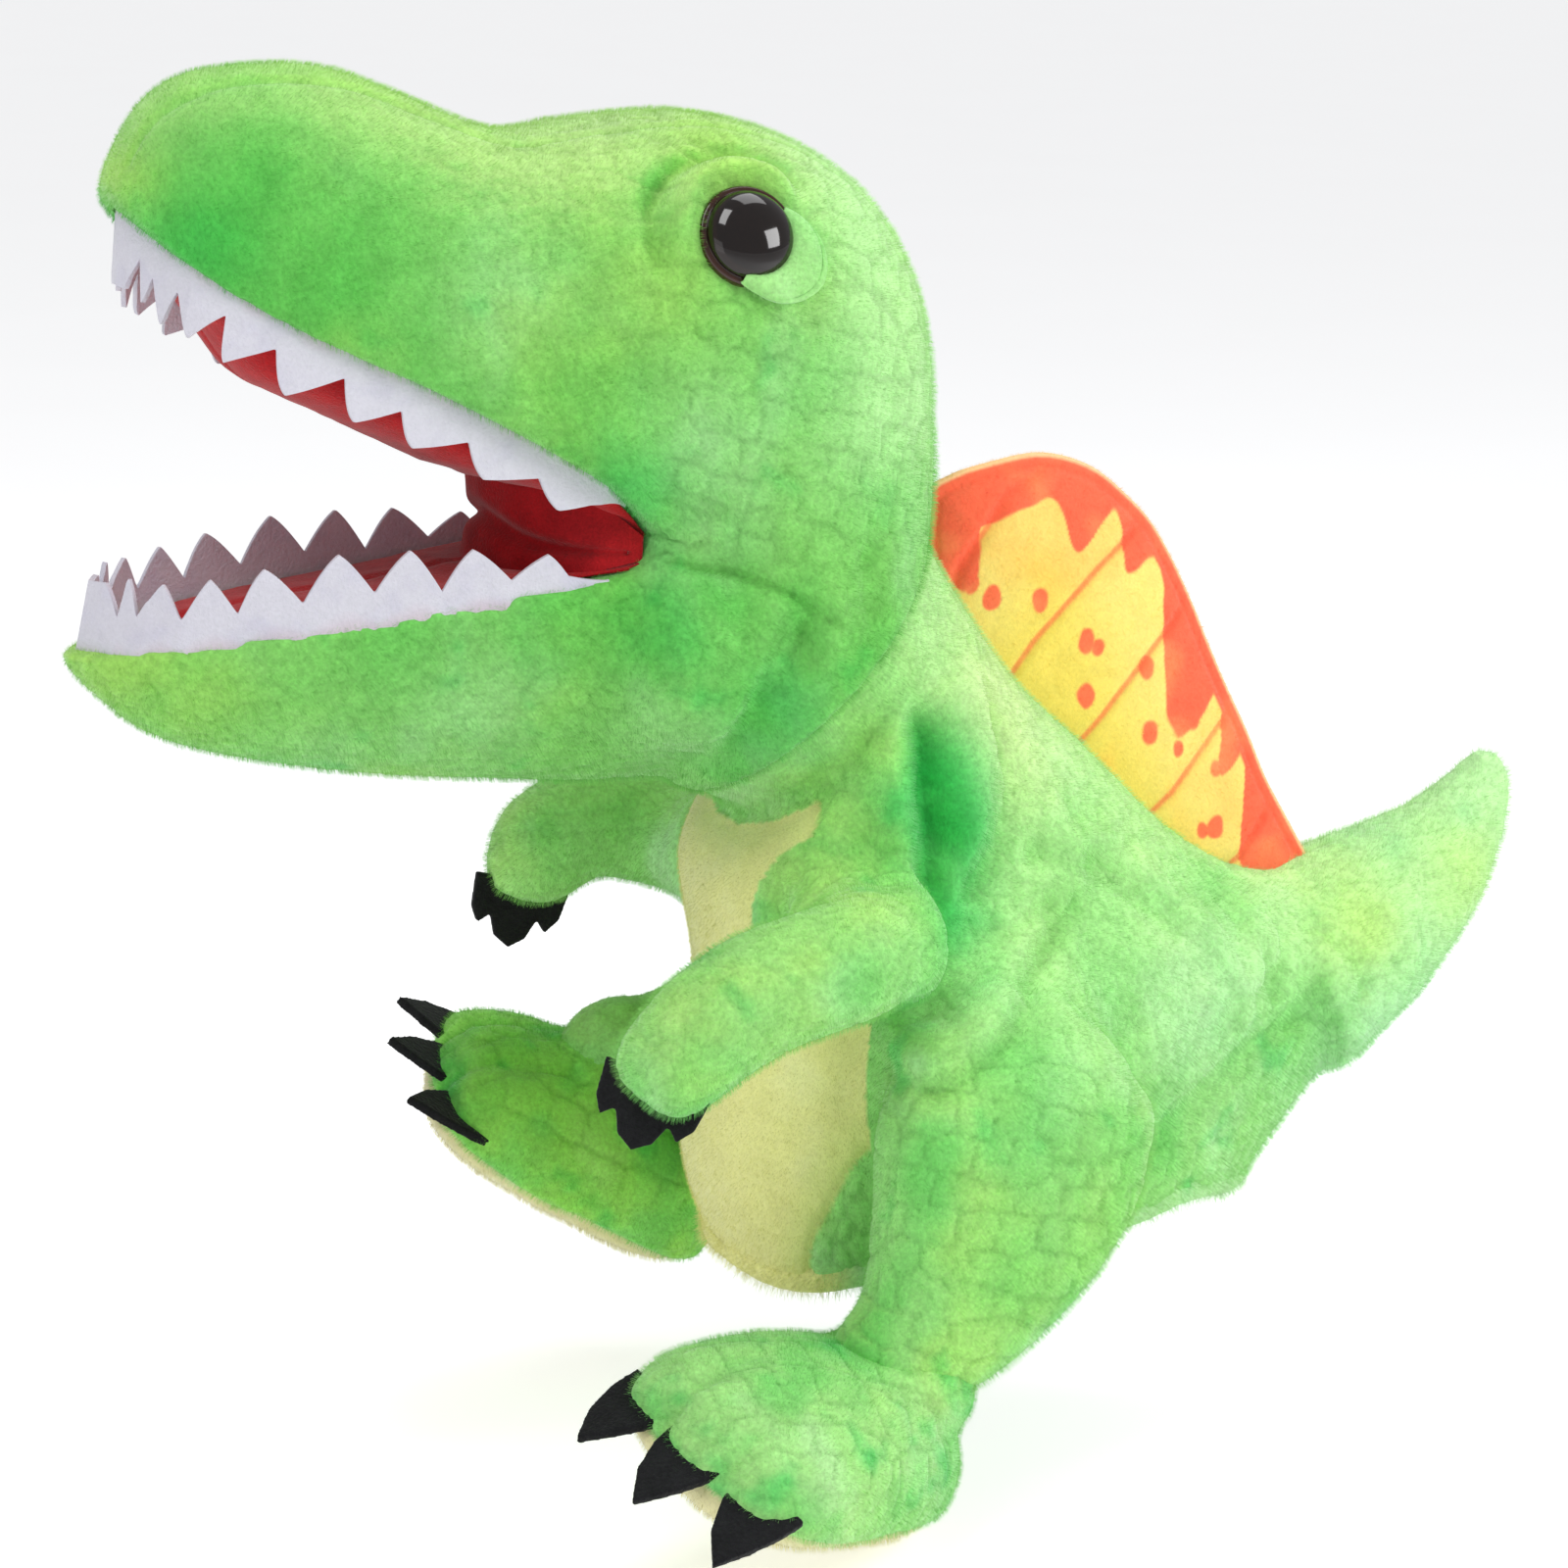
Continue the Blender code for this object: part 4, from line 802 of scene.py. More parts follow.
def arm_rings(rows):
    rows = smooth_rows(rows, 4)
    centres, out = rows[:, :3], []
    for i, (centre, radius) in enumerate(zip(centres, rows[:, 3])):
        along = unit(centres[min(i + 1, len(centres) - 1)] - centres[max(i - 1, 0)])
        up = unit(Z - along * along[2])
        out.append(ring(centre, np.cross(along, up), up, radius, radius, radius, 40))
    return out


def tail_rings():
    out = []
    for run, lift, radius, tilt in smooth_rows(TAIL_ROWS, 3):
        centre = TAIL + TAIL_DIR * run + TAIL_LIFT * lift
        half_width = radius * (0.95 if run > 20 else 1)
        out.append(ring(centre, X, turn_x(tilt)[:, 2], half_width, radius, radius, 48))
    return out


def torso_solids():
    neck = tuple(neck_row(drop) for drop in (16.0, 8.0, 0.0, -8.0, -16.0))
    solids = [loft(body_rings(BODY + neck))]
    for side, sign in SIDES:
        lift = FEET[side].lift
        arm = [section * (sign, 1, 1) for section in arm_rings(ARM[side])]
        solids.append(loft(arm, None, ARM_TIP[side] * (sign, 1, 1)))
        rings = []
        for x, y, z, half_width, half_depth, tilt in smooth_rows(LEG, 3):
            section = ring(vec(x, y, z), X, turn_x(-tilt)[:, 1], half_width, half_depth,
                           half_depth, 56, 0, 2.2)
            rings.append(swing(section, lift, sign))
        solids.append(loft(rings))
        # the ankle, and a soft wedge in the corner between side panel and thigh
        for centre, radii in ((ANKLE, (13.5, 18, 18)), (vec(46, -56, 70), (16, 33, 30))):
            pts, faces = ellipsoid(centre, radii)
            solids.append((swing(pts, lift, sign), faces))
    solids.append(loft(tail_rings(), None, TAIL + TAIL_DIR * 72.5 + TAIL_LIFT * 21.5))
    return solids


def torso_softness(pts):
    """1 in the corners where limbs and tail leave the body, 0 on the neck."""
    soft = np.zeros(len(pts))
    x, y, z = pts.T
    for _, sign in SIDES:
        soft = np.maximum(soft, fade(distance(pts, SHOULDER * (sign, 1, 1)), 16, 27))
        hip_gap = np.hypot(y + 58, z - 62)
        hip = ramp(x * sign, 36, 44) * fade(x * sign, 58, 66) * fade(hip_gap, 40, 56)
        soft = np.maximum(soft, hip * ramp(z, 34, 60))
    soft = np.maximum(soft, fade(np.abs((pts - TAIL) @ TAIL_DIR - 8), 6, 16))
    soft[distance(pts, NECK) < 46] = 0
    return soft


def hem_line(pts):
    """Height of the opening's edge, lowest at the front."""
    run = np.clip((pts[:, 1] + 108) / 145, 0, 1)
    wave = 1.2 * np.sin(pts[:, 1] * 0.13) * ramp(np.abs(pts[:, 0]), 8, 30)
    return 11.5 + 9.5 * ramp(run, 0.02, 0.35) - 4.0 * ramp(run, 0.75, 1.0) + wave


def near_arm(pts, rows, sign, extra):
    gap = np.full(len(pts), 1e9)
    for row in smooth_rows(rows, 3):
        gap = np.minimum(gap, distance(pts, row[:3] * (sign, 1, 1)) - row[3])
    return gap < extra


def torso_parts(pts):
    """Each point's part, and its distance inside the belly panel's edge."""
    part = np.zeros(len(pts), int)
    side_x = np.abs(pts[:, 0])
    belly_in = table_at(BELLY_EDGE, pts[:, 2]) - pts[:, 1] + 0.8 * np.maximum(0, 38 - side_x)
    belly_in = np.where((pts[:, 1] < -70) & (side_x < 46.5), belly_in, OFF_BELLY)
    belly_in = np.where(distance(pts, NECK) < 45.5, OFF_BELLY, belly_in)
    for side, sign in SIDES:
        arm = near_arm(pts, ARM[side][1:], sign, 4.0) & (pts[:, 0] * sign > 50.5)
        part[arm] = PARTS.index("arm_" + side)
    for side, sign in SIDES:
        # the same points on a left leg that isn't raised
        level = (pts * (sign, 1, 1) - HIP) @ turn_x(FEET[side].lift).T + HIP
        x, y, z = level.T
        thigh = (x > 51.0) & (z < 100) & (np.hypot(y + 60, (z - 50) * 0.9) < 62)
        ankle_gap = np.linalg.norm((level - ANKLE) / (20, 27, 27), axis=1)
        ankle = (z < 22) & (ankle_gap < 1.25) & (x > 47)
        part[(thigh | ankle) & (part == BODY_PART)] = PARTS.index("leg_" + side)
    part[((pts - TAIL) @ TAIL_DIR > 4) & (part == BODY_PART)] = TAIL_PART
    for side, sign in SIDES:
        belly_in[near_arm(pts, ARM[side], sign, 6.0)] = OFF_BELLY
    belly_in[part > 0] = OFF_BELLY
    part[(part == BODY_PART) & (belly_in > 0)] = BELLY_PART
    return part, belly_in


def torso_move(pts, normals, part, belly_in, press):
    """How far each point moves out: folds, waviness, pressed lines and seams."""
    side_x = np.abs(pts[:, 0])
    side_view = wandering(pts, 1.4, size=18, seed=41)
    lift = np.zeros(len(pts))
    for line, side, height, width in BODY_FOLDS:
        fold = bell(curve_distance(side_view, line), width) * ramp(side_x, 16, 34)
        if side:
            fold = fold * (pts[:, 0] * side > 0)
        lift += 2.9 * height * fold
    lift += 1.4 * fbm(pts, 30, 51, 2) + 0.30 * fbm(pts, 9, 52, 2)
    belly_seam = bell(belly_in, 1.6) * 1.3
    back_seam = (bell(pts[:, 0], 1.5) * fade(pts[:, 1], -60, 200) * (normals[:, 2] > 0.1)
                 * (part != BELLY_PART) * 0.8)
    move = (lift - 0.55 * press) * np.where(part == BELLY_PART, 0.45, 1.0)
    below_neck = np.maximum(0, (pts - NECK) @ NECK_DOWN - 8) * 0.7
    off_neck = ramp(distance(pts, NECK) + below_neck, 42.5, 50)
    return (move - belly_seam - back_seam) * off_neck


def torso_colour(pts, normals, part, belly_in, press):
    y, z = pts[:, 1], pts[:, 2]
    col = tie_dye(pts, 0.05)
    col = mix(col, rgb("aee6ae"), 0.65 * ramp(y, 20, 70))
    # painted light: skin facing up is lightened toward lime, away from the tail
    col = mix(col, LIME, 0.25 * ramp(normals[:, 2], 0.2, 0.8) * (part != TAIL_PART))
    upper = 0.62 * ramp(z, 52, 92) * ramp(y, -86, -66)
    col = mix(col, rgb("c9f3aa"), upper * (1 - patches(pts, 22, 64, 0.15, 0.6) * 0.7))
    # painted shade: pressed lines are darkened
    col = dab(col, pts, BODY_SPOTS) * (1 - PRESS_SHADE * press)[:, None]
    gold = mix(BELLY, rgb("ecebae"), 0.6 * patches(pts, 24, 61, 0, 0.5))
    gold = mix(gold, rgb("dbe590"), 0.5 * fade(belly_in, 2, 14))
    return mix(col, gold, ramp(belly_in, -0.6, 0.6))


def build_torso():
    pts, quads = fuse(torso_solids(), 2.5 if FINE else 3.4)
    pts = relax(pts, quads, 3)
    pts = relax(pts, quads, 14, torso_softness(pts) * 0.9, inward=0.6, outward=0)
    pts, quads = halve(pts, quads)
    normals = normals_of(pts, quads)
    centres = pts[quads].mean(1)
    part, belly_in = torso_parts(pts)

    x, y, z = pts.T
    haunch = fade(np.hypot(y + 62, z - 40), 36, 52)
    press = emboss(pts, np.clip(fade(z, 30, 62) * (np.abs(x) > 30) + haunch, 0, 1))
    pts = pts + normals * torso_move(pts, normals, part, belly_in, press)[:, None]

    # trim the opening and draw its rim to the hem line
    on_leg = (part == PARTS.index("leg_left")) | (part == PARTS.index("leg_right"))
    keep = ~((centres[:, 2] < hem_line(centres)) & ~on_leg[quads].any(1))
    every = np.arange(len(pts))
    rim = np.isin(every, quads[keep]) & np.isin(every, quads[~keep]) & ~on_leg
    pts[rim, 2] = hem_line(pts)[rim]
    normals = normals_of(pts, quads)
    skin = Skin(pts, quads, normals, torso_colour(pts, normals, part, belly_in, press))

    # a face between two parts belongs to the body, so no hole opens
    face_part = np.zeros(len(quads), int)
    for k in range(1, len(PARTS)):
        face_part[(part[quads] == k).sum(1) >= 3] = k

    def piece(part_name, body, node, slot="green_plush", material=PLUSH, **pile_settings):
        mask = (face_part == PARTS.index(part_name)) & keep
        ob = cut_out("plush_" + part_name, skin, mask, material)
        attach(ob, body, node)
        fur(ob, **pile_settings)

    piece("body", "torso", "body_skin", seed=3)
    piece("belly", "torso", "belly_panel", "yellow_plush", MINKY, length=1.1, seed=4)
    for k, (side, sign) in enumerate(SIDES):
        piece("arm_" + side, limb_joint("arm", side, sign), "arm_skin_" + side,
              seed=6 + k, comb=(0, -0.3, -0.2))
    for k, (side, sign) in enumerate(SIDES):
        piece("leg_" + side, limb_joint("leg", side, sign), "leg_skin_" + side, seed=11 + k)
    piece("tail", TAIL_JOINT, "tail_skin", seed=15, comb=(0, 0.4, 0.1))


build_torso()

# ==== head and jaw: one skin, cut along the cheek =====================================
# top y z, lip or throat y z, half-width, where it is widest as a part of the height,
# reach below that, squareness; from snout tip to neck
HEAD = (
    (-254.5, 293.5, -257.5, 283.5, 10, 0.30, 0.80, 2.0),
    (-249.5, 302.5, -253.5, 277, 18.5, 0.30, 0.80, 2.1),
    (-239, 310, -244, 269, 26, 0.30, 0.80, 2.2),
    (-222, 312.5, -231, 260, 30.5, 0.30, 0.75, 2.3),
    (-203, 310.5, -216, 250, 34, 0.30, 0.72, 2.3),
    (-184, 303, -200, 240, 37, 0.30, 0.68, 2.3),
    (-165, 296, -184, 229.5, 40, 0.32, 0.62, 2.4),
    (-145, 298, -168, 219, 43.5, 0.36, 0.60, 2.6),
    (-120, 299, -154, 209.5, 47, 0.40, 0.57, 2.7),
    (-93, 292, -143, 202, 49.5, 0.45, 0.53, 2.5),
    (-72, 276, -137.5, 190, 49.5, 0.5, 0.5, 2.3),
    (-60, 251, -136.5, 174, 48.5, 0.5, 0.5, 2.1),
    (-57.5, 227, -133.2, 155, 46.8, 0.5, 0.5, 2.0),
    (-57.5, 212, -128.6, 143.2, 46.0, 0.5, 0.5, 2.0),
    (-59.0, 200.0, -120.6, 134.3, 44.6, 0.5, 0.5, 2.0),
)
# distance along the lower jaw, depth
JAW = ((137, 7), (131, 15), (121, 25), (101, 35), (77, 43), (54, 49.5), (30, 55.5), (10, 60),
       (-6, 61), (-16, 58))
UP_DIR, UP_IN = vec(0, -0.8315, 0.5555), vec(0, 0.5555, 0.8315)


def upper_lip():
    """Half-width of the head's sections where they meet the mouth."""
    lip = [(0.0, 31.0)]
    for row in HEAD[9::-1]:
        bottom = vec(0, row[2], row[3])
        half_width, widest, low, power = row[4:]
        if widest < low:
            half = half_width * (1 - (widest / low) ** power) ** (1 / power)
        else:
            half = 8.0
        lip.append(((bottom - MOUTH) @ UP_DIR, half))
    lip.append((lip[-1][0] + 1.5, 3.0))
    return lip


class Jaw(namedtuple("Jaw", "along into level lip")):
    """A jaw's mouth face: its directions from MOUTH (forward, and into the jaw), and tables
    of its level and the lip's half-width against the distance along it."""

    @property
    def reach(self):
        return self.lip[-1][0]

    def place(self, points):
        return (points - MOUTH) @ self.along, (points - MOUTH) @ self.into

    def level_at(self, run):
        return table_at(self.level, run)

    def lip_at(self, run):
        return table_at(self.lip, run)

    def point(self, run, height, across):
        return (MOUTH + run[..., None] * self.along + height[..., None] * self.into
                + across[..., None] * X)

    def on_face(self, points, normals, start, near, facing):
        run, height = self.place(points)
        return ((run > start) & (np.abs(height - self.level_at(run)) < near)
                & (normals @ self.into < facing))


UPPER = Jaw(
    UP_DIR, UP_IN,
    level=((-4, 0), (0, 0), (3.5, 2), (13.5, 4.5), (24, 6), (40, 5.5), (54, 4.5), (71, 3),
           (87, 0.5), (103, -1.5), (119, -2.5), (135, -1.5), (148, 1.5)),
    lip=upper_lip())
LOWER = Jaw(
    vec(0, -0.9915, -0.130), vec(0, 0.130, -0.9915),
    level=((-4, 0), (0, 1), (10, 2.5), (24, 3), (48, 3), (70, 2.5), (95, 2), (120, 1.5),
           (136, 1.5)),
    lip=((0, 35.5), (20, 35.0), (40, 33.8), (60, 32.0), (80, 30.0), (100, 26.8), (115, 23.0),
         (125, 18.5), (132, 12.5), (136.5, 5.5), (138, 2)))
# folds: (y, z) line, height, width, |x| near which they begin
HEAD_FOLDS = (
    (((-142, 280), (-136, 288), (-124, 294), (-112, 292), (-103, 283)), -0.8, 2.4, 22),
    (((-104, 180), (-109, 167), (-116, 152)), -2.2, 3.0, 26),
    (((-97, 186), (-100, 170), (-106, 154)), 1.6, 3.6, 26),
    (((-112, 186), (-117, 172), (-124, 157)), 1.2, 3.4, 26),
    (((-88, 196), (-86, 178), (-92, 164)), -1.2, 3.2, 26),
    (((-136, 198.5), (-128, 196.5), (-118, 193.5), (-108, 189), (-98, 181)), -1.5, 1.5, 24),
    (((-136, 203), (-126, 206), (-118, 214)), 0.9, 4.0, 24),
    (((-80, 240), (-84, 215), (-88, 195)), -0.8, 4.0, 30),
    (((-66, 268), (-74, 250), (-76, 228)), 0.9, 5.0, 30),
    (((-150, 250), (-140, 232), (-137, 216)), -0.7, 5.0, 30),
    (((-172, 262), (-160, 246), (-154, 230)), 0.6, 5.0, 30),
)
HEAD_SPOTS = (
    (-232, 285, 26, SAT, 0.75, 0), (-245, 272, 16, DEEP, 0.45, 0), (-205, 270, 20, SAT, 0.55, 0),
    (-190, 245, 16, LIGHT, 0.5, 0), (-258, 290, 9, LIME, 0.9, 0), (-176, 262, 16, MINT, 0.45, 0),
    (-158, 238, 16, SAT, 0.5, 0), (-146, 214, 14, DEEP, 0.55, 0), (-140, 262, 16, LIME, 0.6, 0),
    (-118, 286, 16, LIME, 0.75, 0), (-128, 226, 18, MINT, 0.6, 0), (-98, 240, 16, SAT, 0.55, 0),
    (-84, 214, 16, SAT, 0.6, 0), (-110, 204, 14, LIGHT, 0.6, 0), (-70, 262, 18, LIME, 0.5, 0),
    (-104, 262, 12, LIME, 0.45, 0), (-66, 232, 14, MINT, 0.4, 0), (-112, 160, 16, DEEP, 0.45, 0),
    (-84, 176, 12, SAT, 0.6, 0), (-160, 190, 18, SAT, 0.75, 0), (-200, 184, 18, SAT, 0.55, 0),
    (-140, 180, 14, DEEP, 0.4, 0), (-180, 160, 20, MINT, 0.6, 0), (-225, 165, 18, LIGHT, 0.7, 0),
    (-262, 178, 14, LIME, 0.8, 0), (-245, 170, 14, LIME, 0.5, 0), (-150, 158, 18, LIGHT, 0.6, 0),
    (-130, 150, 14, MINT, 0.6, 0), (-215, 152, 14, MINT, 0.5, 0),
)
# y, half-width of the narrow panel along the top of the head
TOP_PANEL = ((-256, 9.0), (-240, 13.0), (-205, 15.0), (-160, 17.0), (-100, 20.0), (-62, 22.0))


def head_section(row):
    """A station's centre, up direction, half-width, rise, drop and squareness."""
    top_y, top_z, low_y, low_z, half_width, widest, low, power = row
    top, bottom = vec(0, top_y, top_z), vec(0, low_y, low_z)
    height = np.linalg.norm(top - bottom)
    return (bottom + (top - bottom) * widest, unit(top - bottom), half_width,
            (1 - widest) * height, low * height, power)


def head_point(station, angle):
    """A point on the head at a fractional station and an angle round it."""
    k = int(station)
    row = np.array(HEAD[k]) + (np.array(HEAD[k + 1]) - np.array(HEAD[k])) * (station - k)
    centre, up, half_width, rise, drop, power = head_section(row)
    sin = math.sin(angle)
    return (centre + X * half_width * squared(math.cos(angle), power)
            + up * (rise if sin > 0 else drop) * squared(sin, power))


def head_normal(station, angle):
    lengthwise = head_point(station + 0.05, angle) - head_point(station - 0.05, angle)
    around = head_point(station, angle + 0.02) - head_point(station, angle - 0.02)
    normal = unit(np.cross(lengthwise, around))
    return normal if normal[0] > 0 else -normal


EYE_STATION, EYE_ANGLE = 8.45, math.radians(28)
EYE_CENTRE = head_point(EYE_STATION, EYE_ANGLE)
EYE_NORMAL = head_normal(EYE_STATION, EYE_ANGLE)


def head_solids():
    rings = []
    for row in smooth_rows(HEAD, 4):
        centre, up, half_width, rise, drop, power = head_section(row)
        section = ring(centre, X, up, half_width, rise, drop, 84, 0, max(power, 2.0))
        run, height = UPPER.place(section)
        level = UPPER.level_at(run)
        push = np.where((run > -1) & (height < level), level - height, 0)
        rings.append(section + np.outer(push, UPPER.into))
    last = rings[-1]
    rings.append(NECK + NECK_DOWN * 2.2 + (last - last.mean(0)) * 0.965)
    solids = [loft(rings, vec(0, -258.3, 287.5))]
    rings = []
    for run, depth in smooth_rows(JAW, 4):
        section = ring(MOUTH + LOWER.along * run, X, LOWER.into, float(LOWER.lip_at(run)),
                       depth, 9.0, 72, 0, 2.08)
        height = LOWER.place(section)[1]
        level = float(LOWER.level_at(run)) if run > -4 else -4
        push = np.where(height < level, level - height, 0)
        rings.append(section + np.outer(push, LOWER.into))
    solids.append(loft(rings, MOUTH + LOWER.along * 139 + LOWER.into * 3.0))
    # cheeks where jaw and head meet behind the mouth's corner
    solids += [ellipsoid(vec(sign * 25, -128, 178), (21, 20, 30)) for _, sign in SIDES]
    return solids


def head_softness(pts):
    run, depth = LOWER.place(pts)
    soft = fade(np.abs(run + 4), 8, 30) * ramp(depth, 4, 14) * (np.abs(pts[:, 0]) > 8)
    soft = np.maximum(soft, fade(np.abs(run + 6), 8, 26) * ramp(depth, 30, 44))
    return soft * (distance(pts, NECK) > 46.5)


def eye_relief(pts):
    """Sunk eye sockets with brows over and behind them."""
    lift = 0.0
    for _, sign in SIDES:
        offset = pts - EYE_CENTRE * (sign, 1, 1)
        gap = np.linalg.norm(offset, axis=1)
        near = pts[:, 0] * sign > 12
        lift = lift - 2.2 * np.exp(-(gap / 10.5) ** 4) * near
        above = ramp(offset[:, 2] * 0.8 - offset[:, 1] * 0.35, -2, 8)
        lift += 4.0 * bell(gap - 16.5, 3.8) * above * near
        lift -= 2.4 * bell(gap - 23.0, 2.4) * above * near
        rear = ramp(offset[:, 1], 2, 9) * fade(offset[:, 2], -6, 8)
        lift += 1.3 * bell(gap - 15.5, 4.5) * rear * near
    return lift


def head_lift(pts, normals, top_in):
    lift = 0.9 * fbm(pts, 34, 71, 2) + 0.28 * fbm(pts, 10, 72, 2) + eye_relief(pts)
    side_x = np.abs(pts[:, 0])
    side_view = wandering(pts, 0.8, size=14, seed=81)
    for line, height, width, inner in HEAD_FOLDS:
        fold = bell(curve_distance(side_view, line), width)
        lift += 1.4 * height * fold * ramp(side_x, inner - 8, inner + 2)
    # the top panel's seams, then one down the middle of chin and throat
    lift -= 0.9 * bell(top_in, 1.2) * (pts[:, 1] > -255)
    lift -= 0.8 * bell(pts[:, 0], 1.4) * (normals[:, 2] < -0.3)
    return lift


def head_colour(pts, normals, top_in, press):
    y, z = pts[:, 1], pts[:, 2]
    col = tie_dye(pts)
    # painted light: the upward-facing top of the head is lightened toward pale
    col = mix(col, PALE, 0.80 * (ramp(normals[:, 2], 0.15, 0.75) * ramp(z, 262, 292)))
    col = mix(col, rgb("c8ee8c"), 0.85 * ramp(top_in, -1.5, 1.5) * fade(y, -200, -150))
    col = dab(col, pts, HEAD_SPOTS) * vec(0.87, 0.94, 0.82)
    col = mix(col, rgb("c4f0ac"), 0.75 * ramp(y, -120, -82) * ramp(z, 192, 230))
    # painted shade: pressed lines are darkened
    return col * (1 - PRESS_SHADE * press)[:, None]


def build_head():
    """Makes the head and jaw skins and returns a search tree of them."""
    pts, quads = fuse(head_solids(), 2.4 if FINE else 3.4)
    pts = relax(pts, quads, 3)
    pts = relax(pts, quads, 16, head_softness(pts) * 0.9, inward=0.6, outward=0)
    pts, quads = halve(pts, quads)
    normals = normals_of(pts, quads)

    x, y, z = pts.T
    top_in = np.where(normals[:, 2] > 0.05, table_at(TOP_PANEL, y) - np.abs(x), -9)
    press = emboss(pts, ramp(y, -170, -130) * ramp(z, 188, 204))
    press = press * np.clip(ramp(y, -215, -165) + fade(z, 180, 196), 0.15, 1)
    in_mouth = (UPPER.on_face(pts, normals, start=0, near=2.0, facing=-0.6)
                | LOWER.on_face(pts, normals, start=0, near=2.0, facing=-0.6))
    move = (head_lift(pts, normals, top_in) - 0.5 * press) * np.where(in_mouth, 0, 1)
    pts = pts + normals * (move * ramp(distance(pts, NECK), 44.0, 49.0))[:, None]
    normals = normals_of(pts, quads)

    # open the mouth faces and the neck
    centres = pts[quads].mean(1)
    facing = face_crosses(pts, quads)
    facing /= np.maximum(np.linalg.norm(facing, axis=1), 1e-9)[:, None]
    keep = ~((facing @ NECK_DOWN > 0.6) & (distance(centres, NECK) < 39.5))
    for jaw in (UPPER, LOWER):
        inside_lip = np.abs(centres[:, 0]) < jaw.lip_at(jaw.place(centres)[0] + 4) - 5
        keep &= ~(jaw.on_face(centres, facing, start=3, near=1.6, facing=-0.8) & inside_lip)

    # the jaw's part: below a line from the mouth's corner down and back
    below = ((centres - MOUTH) @ JAW_CUT > 0) & (LOWER.place(centres)[1] > -3)
    skin = Skin(pts, quads, normals, head_colour(pts, normals, top_in, press))
    for name, mask, body, seed, comb_z in (("head", ~below, "head", 21, -0.25),
                                           ("jaw", below, JAW_JOINT, 22, -0.2)):
        ob = cut_out("plush_" + name, skin, keep & mask)
        attach(ob, body, name + "_skin")
        fur(ob, seed=seed, comb=(0, 0.35, comb_z))
    return BVHTree.FromPolygons(pts.tolist(), quads.tolist())


HEAD_TREE = build_head()


# ==== the mouth's fleece ==============================================================
def arc_grid(first, second_count):
    """Flat grids of first against a sine sweep from -1 to 1."""
    sweep = np.sin(np.linspace(-math.pi / 2, math.pi / 2, second_count))
    return [values.ravel() for values in np.meshgrid(first, sweep, indexing="ij")]


def throat():
    """Slack fleece at the back of the mouth, pleated between palate and floor."""
    rows, columns = 60, 70
    span = math.acos(float(UPPER.along @ LOWER.along))
    side = unit(LOWER.along - UPPER.along * (LOWER.along @ UPPER.along))
    angle, sweep = arc_grid(np.linspace(-0.10, span + 0.08, rows), columns)
    across = 33.0 * sweep
    part = angle / span
    arch = np.sqrt(np.maximum(0, 1 - (across / 33.1) ** 2)) ** 0.8
    radius = (43 - 20 * part + 15 * part ** 2) * arch + 1.0
    pleat = bell(part - 0.62 + 0.10 * np.cos(across / 9), 0.10)
    radius = radius - 3.4 * pleat * (radius > 10)
    pts = (MOUTH + (radius * np.cos(angle))[:, None] * UPPER.along
           + (radius * np.sin(angle))[:, None] * side + across[:, None] * X)
    pts = pts + np.outer(0.9 * fbm(pts, 12, 131, 2) * np.clip(radius / 20, 0, 1),
                         unit(UPPER.along + LOWER.along))
    # painted shade: the throat's fleece, deep in the mouth, is darkened as a whole, with random
    # patches of darker fleece
    col = mix(RED, RED_DARK, np.clip(0.35 + 0.3 * patches(pts, 14, 95, 0, 0.6), 0, 1))
    return sheet("fleece_throat", pts.reshape(rows, columns, 3), col, FLEECE, 0.9)


def lining(name, jaw, end, slack, seed):
    """Fleece over a jaw, meeting the skin just inside the lip; slack(run) is its sag."""
    rows, columns = 110, 60
    run, sweep = arc_grid(np.linspace(-2.0, end, rows), columns)
    reach = jaw.reach
    half = jaw.lip_at(run) - 1.8 - 2.4 * ramp(run, 8, 24) - 1.5 * ramp(run, reach - 24, reach)
    across = np.maximum(half, 0.6) * sweep
    height = jaw.level_at(run) - 1.0 + 4.0 * ramp(run, reach - 34, reach - 12)
    dome = 1 - sweep ** 2
    pts = jaw.point(run, height, across)
    bumps = 0.9 * fbm(pts, 22, seed, 2) + 0.35 * fbm(pts, 7, 92, 2)
    crease = -1.2 * bell(run - 18, 3.0) - 0.8 * bell(run - 44 - 4 * sweep ** 2, 2.4)
    mound = -slack(run) * np.sqrt(np.clip(dome, 0, 1)) + 1.0 * bell(across, 1.6)
    pts = pts + np.outer(mound + (bumps + crease * 0.6) * np.clip(dome * 2, 0, 1), jaw.into)
    # random patches of darker fleece, and painted shade darkening it toward the back of the mouth
    tone_and_painted_shade = 0.35 * patches(pts, 18, 95, 0.0, 0.6) + 0.5 * fade(run, -6, 34)
    col = mix(RED, RED_DARK, np.clip(tone_and_painted_shade, 0, 1))
    return sheet(name, pts.reshape(rows, columns, 3), col, FLEECE, 1.0)


def upper_slack(run):
    return np.clip(0.22 * run, 0, 12.0) * fade(run, 98, 132) + 1.5


def lower_slack(run):
    return 2.2 * ramp(run, -2, 26) + 1.0


THROAT_JOINT = ("head", "jaw", to_frame(MOUTH + UPPER.along * 22),
                to_frame(MOUTH + LOWER.along * 22))
attach(throat(), THROAT_JOINT, None)
attach(lining("fleece_upper", UPPER, UPPER.reach - 10.0, upper_slack, seed=91),
       "head", "mouth_lining_upper")
attach(lining("fleece_lower", LOWER, 129.5, lower_slack, seed=92),
       JAW_JOINT, "mouth_lining_lower")

